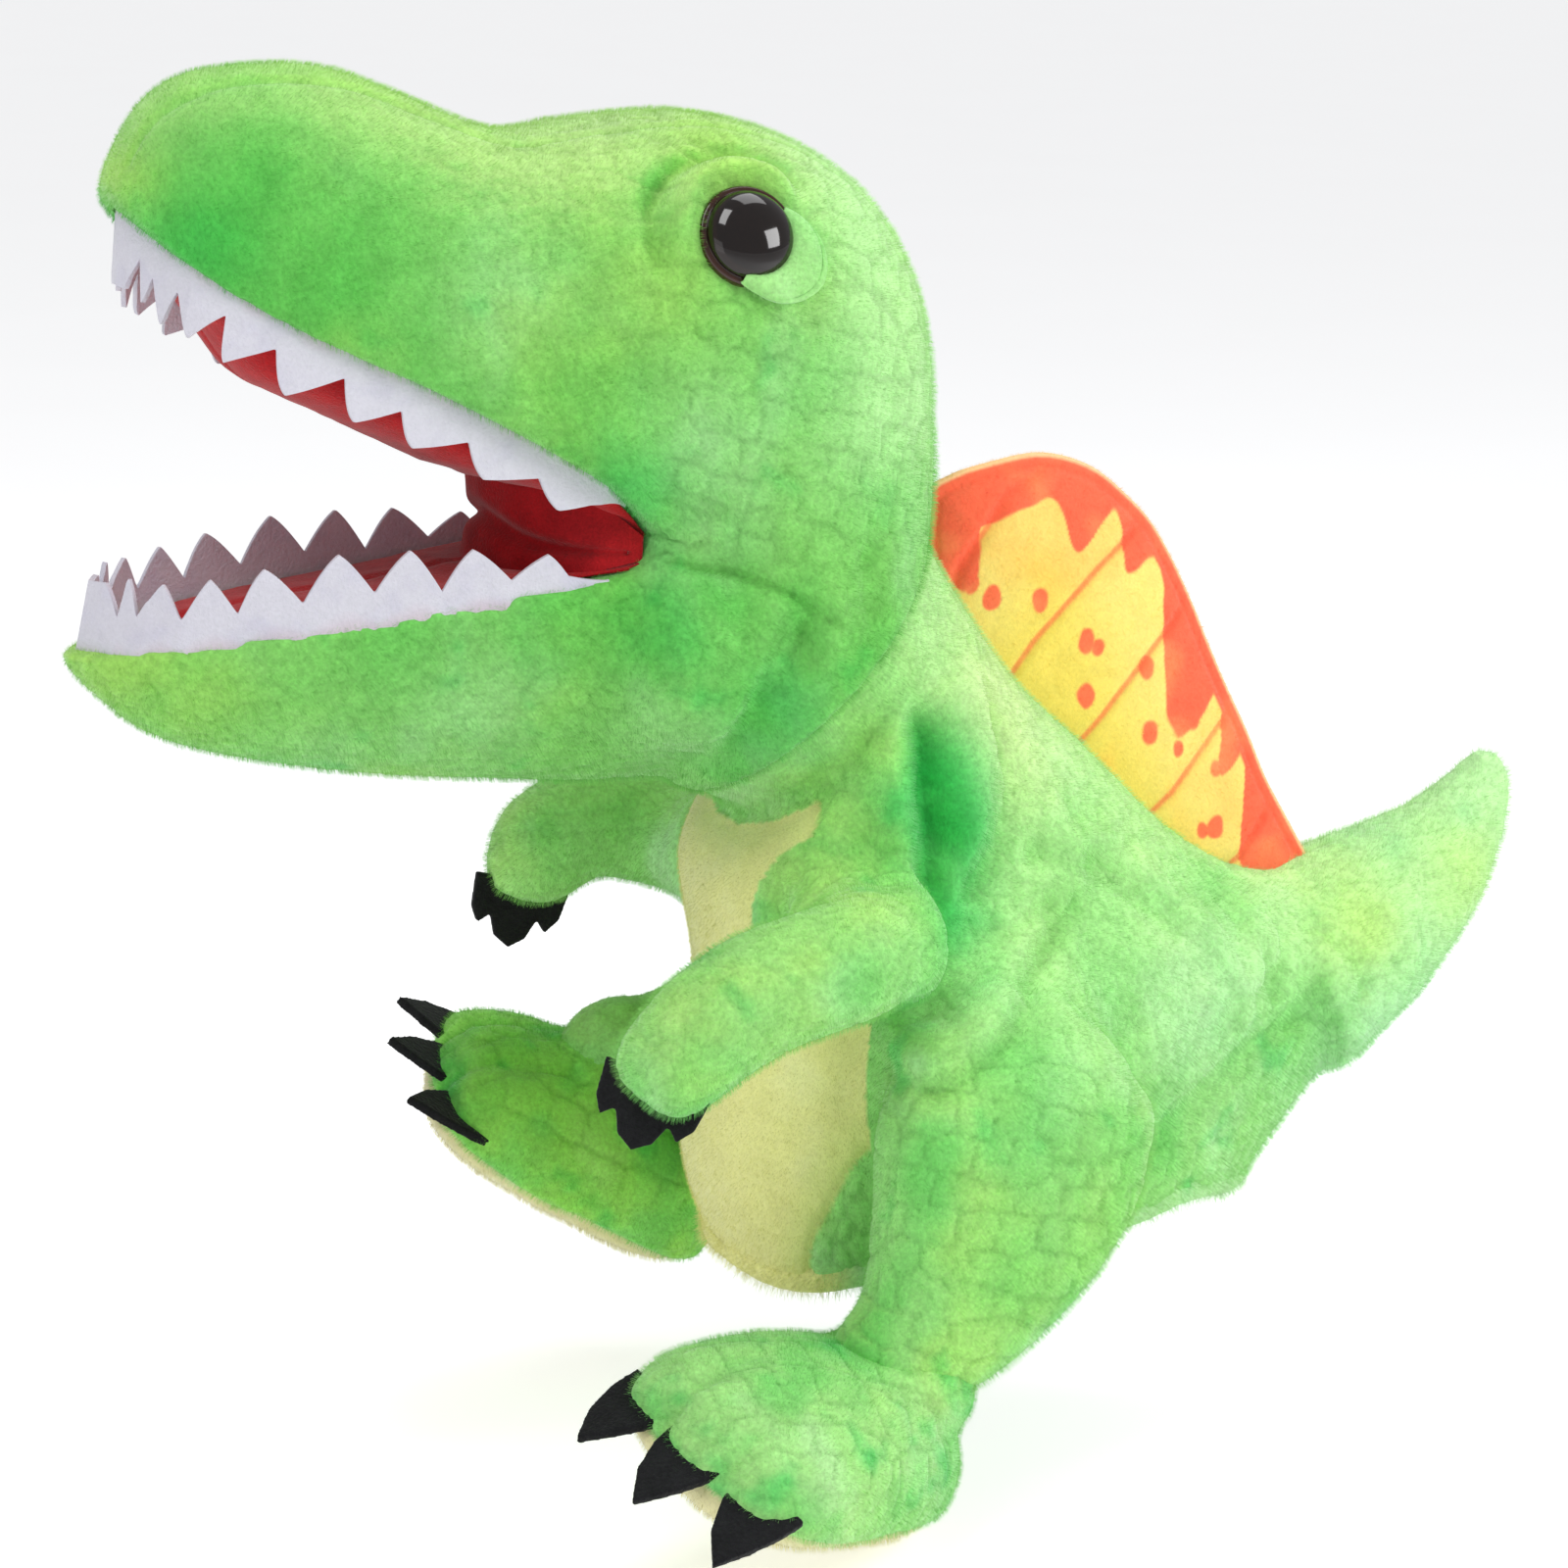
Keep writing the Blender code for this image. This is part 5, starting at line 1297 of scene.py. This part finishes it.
# ==== felt teeth ======================================================================
# distance from the mouth's corner, height past the lip, 1 at a point or 0 in a valley
UPPER_MARKS = (
    (16, -4.0, 0), (24, 0.0, 0), (30, 5.0, 1), (38, 1.0, 0), (49, 8.0, 1), (56.5, 2.5, 0),
    (67, 10.5, 1), (73.5, 4.5, 0), (81.5, 12.5, 1), (88.5, 5.0, 0), (98, 15.5, 1),
    (105, 7.5, 0), (114, 16.5, 1), (119, 7.0, 0), (127.5, 16.0, 1), (133.5, 8.0, 0),
    (138.5, 16.5, 1), (142.5, 8, 0), (145.6, 14.5, 1),
)
LOWER_MARKS = (
    (16, -3.0, 0), (24.5, -0.5, 0), (28.5, 5.5, 1), (38, 1.0, 0), (46, 10, 1), (54.5, 1.5, 0),
    (60.5, 12.5, 1), (70, 4, 0), (77, 14.5, 1), (86.5, 4.5, 0), (94, 14, 1), (101.5, 4.5, 0),
    (107.5, 13.5, 1), (115.5, 5.0, 0), (121, 13.5, 1), (127.0, 6.0, 0), (130.8, 15.0, 1),
)


def lip_path(jaw, inset):
    """(across, along) points inside one side's lip, ending in the middle of the front;
    also the length run at each, and the distances from the corner they stand for."""
    run = np.linspace(15.0, jaw.reach - 0.05, 700)
    half = np.maximum(jaw.lip_at(run) - inset, 0.0)

    def draw_back(values):
        return inset * ramp(values, jaw.reach - 26, jaw.reach)

    path = np.stack([half, run - draw_back(run)], 1)
    path = np.concatenate([path, [[0.0, path[-1, 1]]]])
    lengths = np.concatenate([[0], np.cumsum(np.linalg.norm(np.diff(path, axis=0), axis=1))])
    return path, lengths, path[:-1, 1] + draw_back(path[:-1, 1])


def all_marks(marks, corner_runs, lengths):
    """Marks by length along the strip, with more teeth if the front is left bare."""
    marks = sorted((float(np.interp(run, corner_runs, lengths[:-1])), height, is_point)
                   for run, height, is_point in marks)
    last, gap = marks[-1][0], lengths[-1] - marks[-1][0]
    if gap > 6:
        count = max(1, int(round(gap / 10.5)))
        for i in range(count):
            marks.append((last + gap * i / count + 1.0, 6.0, 0))
            marks.append((last + gap * (i + 0.5) / count + 1.0, 13.5, 1))
    return marks


def tooth_profile(length, marks, rear_round, front_round):
    profile = np.zeros(len(length))
    for a, b in zip(marks, marks[1:]):
        inside = (length >= a[0]) & (length <= b[0])
        t = (length[inside] - a[0]) / max(b[0] - a[0], 1e-6)
        if b[2]:          # rising to a point: rear edge
            low, high, bow = a[1], b[1], rear_round
        else:             # falling from a point: front edge
            low, high, bow, t = b[1], a[1], front_round, 1 - t
        edge = np.sin(t * math.pi / 2) * bow + t * (1 - bow)
        profile[inside] = low + (high - low) * edge
    profile[length < marks[0][0]] = marks[0][1]
    profile[length > marks[-1][0]] = marks[-1][1]
    return profile


def outward_of(across, run):
    """Smoothed outward direction along the strip."""
    step = np.gradient(np.stack([across, run], 1), axis=0)
    step = np.stack([np.convolve(np.pad(step[:, k], 9, "edge"), np.ones(19) / 19, "valid")
                     for k in (0, 1)], 1)
    step /= np.maximum(np.linalg.norm(step, axis=1), 1e-9)[:, None]
    out = np.stack([-step[:, 1], step[:, 0]], 1)
    return out * np.where((out[:, 0] * across + out[:, 1] * 40) < 0, -1, 1)[:, None]


def teeth(name, jaw, marks, inset, rear_round, front_round, flare, lean_back):
    """A felt strip along the lip from one corner round the front to the other."""
    path, lengths, corner_runs = lip_path(jaw, inset)
    total = lengths[-1]
    length = np.arange(0, total, 0.45 if FINE else 0.9)
    profile = tooth_profile(length, all_marks(marks, corner_runs, lengths), rear_round,
                            front_round)
    across, run = (np.interp(length, lengths, path[:, k]) for k in (0, 1))
    # both sides, front in the middle
    across = np.concatenate([across, -across[::-1][1:]])
    run = np.concatenate([run, run[::-1][1:]])
    profile = np.concatenate([profile, profile[::-1][1:]])
    length = np.concatenate([length, 2 * total - length[::-1][1:]])
    out = outward_of(across, run)

    down = np.linspace(0, 1, 22 if FINE else 12)
    reach = jaw.reach
    base = jaw.level_at(run) + 2.6 + 2.6 * ramp(run, reach - 22, reach - 2)
    height = base[:, None] - (base + profile)[:, None] * down
    wave = 0.55 * fbm(np.stack([length, length * 0, length * 0], 1), 11, 7 + inset, 2)
    push = flare * np.maximum(-height, 0) / 14 + 0.9 * wave[:, None] * down ** 1.3
    lean = (lean_back * ramp(run, reach - 42, reach - 4)[:, None]
            * np.minimum(height - base[:, None], 0))
    grid = jaw.point(run[:, None] + lean + push * out[:, 1:2], height,
                     across[:, None] + push * out[:, 0:1])
    pts = grid.reshape(-1, 3)
    col = mix(TEETH, rgb("c2bfd2"), 0.5 * patches(pts, 9, 96, -0.1, 0.6))
    # painted shade and painted red reflection at the teeth's roots by the lining
    col = mix(col, rgb("c9a9b4"), 0.45 * np.tile(fade(down, 0.0, 0.35), len(run)))
    ob = sheet(name, grid, col, FELT_WHITE, 1.3)
    put(ob.modifiers.new("edge", "BEVEL"), width=0.35 * MM, segments=2, limit_method="ANGLE",
        angle_limit=math.radians(50))
    return ob


def bake_modifiers(ob):
    deps = bpy.context.evaluated_depsgraph_get()
    final = bpy.data.meshes.new_from_object(ob.evaluated_get(deps))
    ob.modifiers.clear()
    ob.data = final


attach(teeth("felt_teeth_upper", UPPER, UPPER_MARKS, inset=2.0, rear_round=0.15,
             front_round=0.8, flare=1.0, lean_back=0.62),
       "head", "upper_teeth")
lower_teeth = teeth("felt_teeth_lower", LOWER, LOWER_MARKS, inset=2.4, rear_round=0.45,
                    front_round=0.45, flare=0.6, lean_back=0.40)
bake_modifiers(lower_teeth)
attach(lower_teeth, JAW_JOINT, "lower_teeth")


# ==== eyes ============================================================================
def eye_dome(name, seat, normal):
    """A lathed dome with a rolled rim and a shallow back."""
    side = unit(np.cross(Z, normal))
    up = np.cross(normal, side)
    quarter = np.linspace(0, 1, 40) * math.pi / 2
    dome = np.stack([10.6 * np.sin(quarter), 1.5 + 5.7 * np.cos(quarter)], 1)
    rim = ((10.8, 1.35), (11.2, 1.5), (11.7, 1.35), (12.0, 0.9), (12.05, 0.2), (12.0, -1.2),
           (11.5, -2.6), (9.0, -3.4), (0.01, -3.6))
    profile = np.concatenate([dome, rim])           # radius, height
    segments = 96
    angle = 2 * math.pi * np.arange(segments) / segments
    spokes = np.outer(np.cos(angle), side) + np.outer(np.sin(angle), up)
    radius, height = np.repeat(profile, segments, 0).T
    pts = (seat + np.outer(height, normal)
           + np.tile(spokes, (len(profile), 1)) * radius[:, None])
    on_rim = ((radius > 10.7) | (height < 1.4))[:, None]
    pupil = np.where((radius < 9.2)[:, None], rgb("130b09"), rgb("1d100c"))
    index = np.arange(len(pts)).reshape(-1, segments)
    ob = object_of(name, pts, grid_quads(np.pad(index, ((0, 0), (0, 1)), "wrap")))
    face_outward(ob)
    paint(ob, pts, np.where(on_rim, rgb("3a1f14"), pupil), EYE_PLASTIC)
    return ob


def eyelid(name, seat, normal):
    """A leaf of plush folded over the rear of the eye."""
    back = unit(Y - normal * normal[1])
    up = np.cross(normal, back)
    up = up if up[2] > 0 else -up
    along = np.linspace(-1, 1, 60)[:, None]
    across = np.linspace(0, 1, 20)[None, :]
    angle = np.radians(-38 + 66 * along)[..., None]
    width = 8.6 * np.maximum(0.0, 1 - np.abs(along) ** 1.6) + 0.3
    radius = 10.2 + across * width * 1.15
    arch = np.sqrt(np.maximum(0, 1 - along * along * 0.9))
    height = 1.9 * np.sin(np.minimum(1.0, across * 1.25) * math.pi) * arch + 1.3 - 0.6 * across
    spoke = back * np.cos(angle) + up * np.sin(angle)
    grid = seat + spoke * radius[..., None] + normal * height[..., None]
    col = mix(tie_dye(grid.reshape(-1, 3)), rgb("a6dc8b"), 0.65)
    return sheet(name, grid, col, PLUSH, 1.6)


def build_eyes():
    for side, sign in SIDES:
        normal, centre = EYE_NORMAL * (sign, 1, 1), EYE_CENTRE * (sign, 1, 1)
        hit = HEAD_TREE.ray_cast(Vector(centre + normal * 20), Vector(-normal))[0]
        surface = np.array(hit) if hit is not None else centre
        seat = surface * 0.3 + centre * 0.7
        attach(eye_dome("eye_dome_" + side, seat, normal), "head", "eye_" + side)
        lid = eyelid("plush_eyelid_" + side, seat, normal)
        fur(lid, seed=31, length=1.2)
        attach(lid, "head", "eye_patch_" + side)


build_eyes()

# ==== sail: all lines are (y, z) ======================================================
SAIL_TOP = (
    (-55.0, 188), (-54.5, 202.5), (-48, 207), (-39, 209.5), (-23, 211.5), (-9, 207.5), (2, 199),
    (10, 190), (19, 174), (25, 161), (31, 148), (37, 136), (43, 123), (50, 111), (58, 97),
)
SAIL_BASE = (
    (-55.5, 183.5), (-51, 179), (-44, 170), (-34, 157), (-22, 143), (-10, 130), (2, 119),
    (14, 108.5), (26, 100), (38, 95), (48, 93), (57, 92),
)
SAIL_RIBS = (
    ((-50, 174), (-46, 184), (-34, 201), (-20, 209)),
    ((-34, 154), (-26, 164), (-8, 182), (7, 194)),
    ((-16, 134), (-6, 144), (8, 160), (20, 172)),
    ((4, 114), (14, 122), (26, 136), (34, 144)),
    ((26, 98), (34, 103), (44, 115)),
)


def resample(rows, count):
    """Evenly spaced points on a smoothed line."""
    line = smooth_rows(rows, 8)
    run = np.concatenate([[0], np.cumsum(np.linalg.norm(np.diff(line, axis=0), axis=1))])
    even = np.linspace(0, run[-1], count)
    return np.stack([np.interp(even, run, line[:, k]) for k in (0, 1)], 1)


def sail_colour(flat, solid, along, top, base, edge, rib):
    """Yellow, with a ragged orange band at the edge, orange spots and faint ribs."""
    band = (13.5 - 3.0 * along + 5.5 * np.sin(along * 44 + 0.8 + 1.5 * np.sin(along * 17))
            + 4.2 * np.sin(along * 21 + 2.0) + 1.2 * perlin(solid, 6, 5))
    orange = 1 - ramp(edge - np.maximum(band, 5.0), -0.5, 0.5)
    spots = np.full(len(flat), 1e9)
    rough = 0.5 * perlin(solid, 4, 6)
    random = np.random.RandomState(5)
    for _ in range(17):
        k = random.randint(10, len(top) - 10)
        centre = base[k] + (top[k] - base[k]) * random.uniform(0.18, 0.62)
        radius = random.uniform(1.4, 2.8)
        y, z = (flat - centre).T
        spots = np.minimum(spots, np.hypot(y, 0.75 * z) + rough - radius)
    orange = np.maximum(orange, (1 - ramp(spots, -0.35, 0.35)) * 0.9)
    orange = np.maximum(orange, 0.55 * (1 - ramp(rib, 0.3, 1.1)))
    yellow = mix(rgb("f3dc66"), rgb("ffc553"), patches(solid, 26, 17, -0.2, 0.5))
    yellow = mix(yellow, rgb("ffe9a0"), 0.4 * fade(edge, 18, 40))
    red = mix(rgb("ff6e4e"), rgb("ff8a5a"), patches(solid, 18, 18, 0, 0.5))
    return mix(mix(yellow, red, orange), rgb("ffd9a0"), 0.85 * (1 - ramp(edge, 0.5, 1.4)))


def build_sail():
    rows, columns = (300, 150) if FINE else (120, 60)
    top, base = resample(SAIL_TOP, rows), resample(SAIL_BASE, rows)
    up = np.linspace(-0.10, 1, columns)
    flat = (base[:, None] + (top - base)[:, None] * up[None, :, None]).reshape(-1, 2)
    solid = np.stack([flat[:, 0] * 0, flat[:, 0], flat[:, 1]], 1)
    edge = curve_distance(flat, top[::6])
    rib = np.full(len(flat), 1e9)
    for line in SAIL_RIBS:
        rib = np.minimum(rib, curve_distance(flat, line))
    along = np.repeat(np.linspace(0, 1, rows), columns)
    col = sail_colour(flat, solid, along, top, base, edge, rib).reshape(rows, columns, 3)

    puff = 1.0 + 4.6 * (1 - np.exp(-edge / 9.0))
    puff -= 1.4 * bell(rib, 1.7) * ramp(edge, 2, 7)
    puff += 0.55 * fbm(solid, 14, 19, 2) * ramp(edge, 2, 6)
    puff -= 0.5 * bell(edge - 3.2, 0.9)
    lean = 0.9 * perlin(solid, 40, 20) * np.tile(ramp(up, 0.1, 0.8), rows)
    puff, lean = (values.reshape(rows, columns) for values in (puff, lean))
    for side, sign in SIDES:
        grid = solid.reshape(rows, columns, 3).copy()
        grid[..., 0] = sign * np.maximum(puff, 0.25) + lean
        # the two sides meet along the top and both ends
        for rim in ((slice(None), -1), (0,), (-1,)):
            grid[..., 0][rim] = lean[rim]
        ob = sheet("sail_cloth_" + side, grid[::sign], col[::sign].reshape(-1, 3), PRINT)
        fur(ob, seed=40, per_mm2=2.6, length=0.9, comb=(0, 0.1, -0.3))
        attach(ob, "sail", "sail_print_" + side)


build_sail()

# ==== feet ============================================================================
# distance along the toe direction, half-width, rise, drop
FOOT = ((-36, 17, 13, 8), (-27, 24, 21, 11), (-12, 28, 26, 13), (6, 30.5, 26.5, 13.5),
        (24, 31.5, 23.5, 13.5), (38, 30, 18.5, 12.5), (47, 24.5, 12.5, 10))


def foot_colour(pts, foot, press, seam_gap):
    col = tie_dye(pts, 0.05)
    # painted light: the feet are tinted by side; the far right foot, in shade, is brightened
    # toward lime
    if foot.sign > 0:
        col = mix(col, rgb("b9e894"), 0.35)
    else:
        col = mix(col, rgb("98e24a"), 0.55)
    col = mix(col, SAT, 0.5 * patches(pts, 22, 103, -0.1, 0.4))
    col = mix(col, DEEP, 0.35 * patches(pts, 16, 104, 0.1, 0.5))
    sole = mix(CREAM, rgb("f1edc6"), patches(pts, 20, 105, -0.1, 0.5))
    # painted shade: pressed lines are darkened
    return mix(col * (1 - PRESS_SHADE * press)[:, None], sole, fade(seam_gap, -0.7, 0.7))


def build_foot(side, foot):
    sign, toe, wide, top, heart = foot.sign, foot.toe, foot.wide, foot.top, foot.heart
    rings = [ring(heart + toe * run, wide, top, half_width, rise, drop, 72, 0, 2.15)
             for run, half_width, rise, drop in smooth_rows(FOOT, 4)]
    instep = ellipsoid(ANKLE + top * -9 - toe * 1, (19, 22, 17))
    pts, quads = fuse([loft(rings, heart - toe * 40, heart + toe * 52), instep],
                      2.0 if FINE else 3.0)
    pts = relax(pts, quads, 3)
    pts, quads = halve(pts, quads)
    normals = normals_of(pts, quads)
    offset = pts - (heart + toe * 6)
    height, ahead, across = offset @ top, offset @ toe, offset @ wide
    seam_gap = height + 5.0 + 0.8 * np.sin(ahead * 0.12)
    lift = 0.8 * fbm(pts, 20, 101 + sign, 2) + 0.3 * fbm(pts, 8, 102, 2)
    lift -= 1.5 * bell(seam_gap, 1.5)
    # two shallow valleys run back from between the claws
    for valley in (-10.5, 10.5):
        lift -= 1.8 * bell(across - valley, 3.4) * ramp(ahead, 10, 40) * ramp(height, -4, 2)
    press = emboss(pts, ramp(height, 4, 14)) * (height > -4)
    pts = pts + normals * (lift - 0.45 * press)[:, None]
    col = foot_colour(pts, foot, press, seam_gap)

    pts = foot.place(pts)
    if sign < 0:
        quads = quads[:, ::-1]
    skin = Skin(pts, quads, normals_of(pts, quads), col)
    is_sole = (seam_gap < 0)[quads].all(1)
    upper = cut_out("plush_foot_" + side, skin, ~is_sole)
    fur(upper, seed=50 + sign, comb=(0, -0.2, -0.1))
    attach(upper, "foot_" + side, "foot_upper_" + side)
    sole = cut_out("plush_sole_" + side, skin, is_sole, MINKY)
    fur(sole, seed=52 + sign, length=1.4)
    attach(sole, "foot_" + side, "foot_sole_" + side)


for foot_side, foot in FEET.items():
    build_foot(foot_side, foot)

# ==== pieces worked up from the frame's own solids ====================================
# a look is a material, its colour and its slot
CLAW = (FELT_BLACK, rgb("1b1b1d"), "black_felt")
FILL = (FIBRE, rgb("ececea"), "polyester_fill")
BOARD = (LINING, rgb("8c7a61"), "mouth_board")
GREY = (LINING, rgb("aab2a4"), "grey_lining")
GREEN = (PLUSH, rgb("8ddc84"), "green_plush")
WASHER = (LINING, rgb("d8d8d4"), "washer_plastic")
CLAW_VOXEL = 0.55 if FINE else 1.0
INNER_VOXEL = 1.0 if FINE else 2.0


def refine(node, name, body, look, voxel, noise, size, rounds, shrink=0.0, shift=(0, 0, 0)):
    """Rounds off a frame solid, and roughens it with noise of the given size."""
    material, colour, slot = look
    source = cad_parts[node]
    mesh = source.data.copy()
    mesh.transform(source.matrix_world)
    ob = bpy.data.objects.new("tmp", mesh)
    bpy.context.scene.collection.objects.link(ob)
    pts, quads = baked(ob, "REMESH", mode="VOXEL", voxel_size=voxel * MM)
    pts = relax(pts, quads, rounds)
    out = noise * fbm(pts, size, len(name), 2) - shrink
    pts = pts + normals_of(pts, quads) * out[:, None] + vec(*shift)
    col = colour * (1 + 0.08 * fbm(pts, size * 1.5, 7, 2))[:, None]
    ob = object_of(name, pts, quads)
    paint(ob, pts, col, material, normals=normals_of(pts, quads))
    attach(ob, body, node)


def build_claws():
    felt = dict(look=CLAW, voxel=CLAW_VOXEL, noise=0.12, size=4, rounds=3)
    for side, hand_shift, back in (("left", (0, 2, 3), -7.5), ("right", (0, 5, 0), -10.5)):
        refine("hand_claws_" + side, "felt_claws_hand_" + side, "arm_" + side,
               shift=hand_shift, **felt)
        foot = FEET[side]
        draw_in = foot.place(ANKLE + foot.toe * back + foot.top * 3.0) - foot.place(ANKLE)
        for k in (1, 2, 3):
            refine(f"toe_claw_{side}_{k}", f"felt_claw_toe_{side}_{k}", "foot_" + side,
                   shift=draw_in, **felt)


def build_inner_pieces():
    # node, name, body, look, voxel, noise, size, rounds, shrink
    for row in (
        ("head_stuffing", "fill_head", "head", FILL, 3.0, 0.5, 12, 4, 2.0),
        ("jaw_stuffing", "fill_jaw", JAW_JOINT, FILL, 2.5, 0.4, 12, 3, 2.0),
        ("mouth_board_upper", "board_upper", "head", BOARD, INNER_VOXEL, 0.05, 12, 1, 0.1),
        ("mouth_board_lower", "board_lower", JAW_JOINT, BOARD, INNER_VOXEL, 0.05, 12, 1, 0.1),
        ("finger_pocket", "cloth_finger_pocket", "head", GREY, INNER_VOXEL, 0.15, 9, 2),
        ("thumb_pocket", "cloth_thumb_pocket", JAW_JOINT, GREY, INNER_VOXEL, 0.15, 9, 2),
        ("neck_sleeve", "cloth_neck", "neck", GREEN, INNER_VOXEL * 1.1, 0.15, 12, 2, 1.0),
        ("hand_sleeve", "cloth_hand_sleeve", "torso", GREY, INNER_VOXEL, 0.4, 16, 2),
        ("sail_wadding", "fill_sail", "sail", FILL, 1.5 if FINE else 2.5, 0.2, 12, 2, 0.5),
        ("tail_stuffing", "fill_tail", TAIL_JOINT, FILL, 2.5, 0.4, 12, 3, 2.0),
    ):
        refine(*row)
    for side, sign in SIDES:
        arm_shift = (0, 0, 0) if sign > 0 else (0, 2.5, -2.5)
        for row in (
            ("arm_stuffing_", "fill_arm_", limb_joint("arm", side, sign), FILL,
             2.0, 0.3, 9, 2, 4.6, arm_shift),
            ("leg_stuffing_", "fill_leg_", limb_joint("leg", side, sign), FILL,
             2.5, 0.3, 9, 3, 1.2),
            ("foot_stuffing_", "fill_foot_", "foot_" + side, FILL, 2.5, 0.3, 9, 3, 1.2),
            ("eye_washer_", "washer_", "head", WASHER, 0.8, 0.0, 9, 1),
        ):
            refine(row[0] + side, row[1] + side, *row[2:])


build_claws()
build_inner_pieces()


# ==== hem: a soft roll round the opening ==============================================
def hem_loop(count):
    """Where the body's skin crosses the hem line, evened out."""
    sections = np.array(body_rings(BODY, 8, count))
    loop = []
    for i in range(count):
        column = sections[:, i]
        gap = column[:, 2] - (hem_line(column) + 1.0)
        crossing = np.where((gap[:-1] < 0) & (gap[1:] >= 0))[0]
        if len(crossing):
            k = crossing[0]
            t = -gap[k] / (gap[k + 1] - gap[k])
            loop.append(column[k] + (column[k + 1] - column[k]) * t)
        else:
            loop.append(column[0])
    loop = np.array(loop)
    for _ in range(6):
        loop = 0.5 * loop + 0.25 * (np.roll(loop, 1, 0) + np.roll(loop, -1, 0))
    return loop


def build_hem():
    count, around = 200, 20
    loop = hem_loop(count)
    tangent = np.roll(loop, -1, 0) - np.roll(loop, 1, 0)
    tangent /= np.linalg.norm(tangent, axis=1)[:, None]
    out = np.cross(tangent, Z)
    out *= np.where(((loop - vec(0, -38, 15)) * out).sum(1) < 0, -1, 1)[:, None]
    out /= np.linalg.norm(out, axis=1)[:, None]
    pts = np.concatenate([
        loop + out * (-1.4 + 2.5 * math.cos(angle)) + Z * (1.6 + 4.0 * math.sin(angle))
        for angle in np.linspace(0, 2 * math.pi, around, endpoint=False)])
    index = np.arange(around * count).reshape(around, count)
    quads = grid_quads(np.pad(index, ((0, 1), (0, 1)), "wrap"))
    normals = normals_of(pts, quads)
    if ((pts - np.tile(loop, (around, 1))) * normals).sum() < 0:
        quads, normals = quads[:, ::-1], -normals
    pts = pts + normals * (0.5 * fbm(pts, 9, 121, 2))[:, None]
    col = mix(tie_dye(pts), rgb("cdeebb"), 0.6)
    col = mix(col, BELLY, fade(pts[:, 1], -96, -88))
    ob = object_of("plush_hem", pts, quads)
    paint(ob, pts, col, PLUSH, PILE)
    fur(ob, seed=60, length=2.2, wild=0.5, comb=(0, 0.0, -0.4))
    attach(ob, "torso", "opening_hem")


build_hem()


# ==== floor, world, lights and camera =================================================
def floor_material():
    """Near-white, and a little self-lit, more so to the camera."""
    k = Build("floor")
    point = k.node("ShaderNodeTexCoord").outputs["Object"]
    mottle = k.remap(k.noise(point, 6), 0.3, 0.7, to_low=0.985, to_high=1.0)
    white = k.node("ShaderNodeRGB")
    white.outputs[0].default_value = (0.93, 0.93, 0.935, 1)
    k.colour(k.times(white.outputs[0], mottle))
    k.set({"Roughness": 0.8, "Specular IOR Level": 0.1, "Emission Color": (1, 1, 1, 1)})
    seen = k.node("ShaderNodeLightPath").outputs["Is Camera Ray"]
    k.link(k.remap(seen, 0.0, 1.0, to_low=0.30, to_high=0.50),
           k.shader.inputs["Emission Strength"])
    return k.material


def build_floor():
    lowest = float(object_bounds()[0][2])
    bpy.ops.mesh.primitive_plane_add(size=120, location=(0, 0, lowest - 0.006))
    floor = bpy.context.object
    floor.name = "floor"
    floor.data.materials.append(floor_material())


def build_world():
    """Soft light all round; seen past the floor the air is nearly white."""
    world = bpy.context.scene.world or bpy.data.worlds.new("world")
    bpy.context.scene.world = world
    world.use_nodes = True
    nodes, links = world.node_tree.nodes, world.node_tree.links
    light = nodes.get("Background") or nodes.new("ShaderNodeBackground")
    light.inputs[0].default_value = (0.97, 0.98, 1.0, 1)
    light.inputs[1].default_value = 0.42
    path = nodes.new("ShaderNodeLightPath")
    white = nodes.new("ShaderNodeBackground")
    white.inputs[0].default_value = (0.98, 0.98, 0.98, 1)
    both = nodes.new("ShaderNodeMixShader")
    links.new(path.outputs["Is Camera Ray"], both.inputs[0])
    links.new(light.outputs[0], both.inputs[1])
    links.new(white.outputs[0], both.inputs[2])
    output = nodes.get("World Output") or nodes.new("ShaderNodeOutputWorld")
    links.new(both.outputs[0], output.inputs[0])


def softbox(name, at, size, watts, size_y=None, aim=(0.0, -0.10, 0.12)):
    data = bpy.data.lights.new(name, "AREA")
    put(data, energy=watts, size=size)
    if size_y:
        put(data, shape="RECTANGLE", size_y=size_y)
    ob = bpy.data.objects.new(name, data)
    bpy.context.scene.collection.objects.link(ob)
    ob.location = at
    ob.rotation_euler = (Vector(aim) - Vector(at)).to_track_quat("-Z", "Y").to_euler()
    ob.visible_camera = False


def build_camera():
    data = bpy.data.cameras.new("camera")
    put(data, lens=100.0, sensor_width=36.0, sensor_fit="HORIZONTAL", clip_end=20)
    ob = bpy.data.objects.new("camera", data)
    bpy.context.scene.collection.objects.link(ob)
    # the direction from the puppet back to the camera, turned from -Y toward +X
    turn, rise = math.radians(68), math.radians(13)
    back = Vector((math.sin(turn) * math.cos(rise), -math.cos(turn) * math.cos(rise),
                   math.sin(rise)))
    ob.location = Vector(to_frame((977.70, -486.75, 375.70)))
    ob.rotation_euler = back.to_track_quat("Z", "Y").to_euler()
    bpy.context.scene.camera = ob


build_floor()
build_world()
softbox("key", at=(0.45, -0.75, 1.45), size=0.5, watts=8.0, size_y=0.7)
softbox("fill", at=(0.55, 0.45, 0.50), size=0.34, watts=3.4, aim=(0.0, -0.02, 0.09))
softbox("top", at=(-0.2, 0.3, 1.5), size=0.8, watts=6.0)
softbox("front", at=(0.5, -1.3, 0.1), size=0.8, watts=1.6)
build_camera()
bpy.context.scene.view_settings.view_transform = "Standard"

bpy.context.view_layer.update()
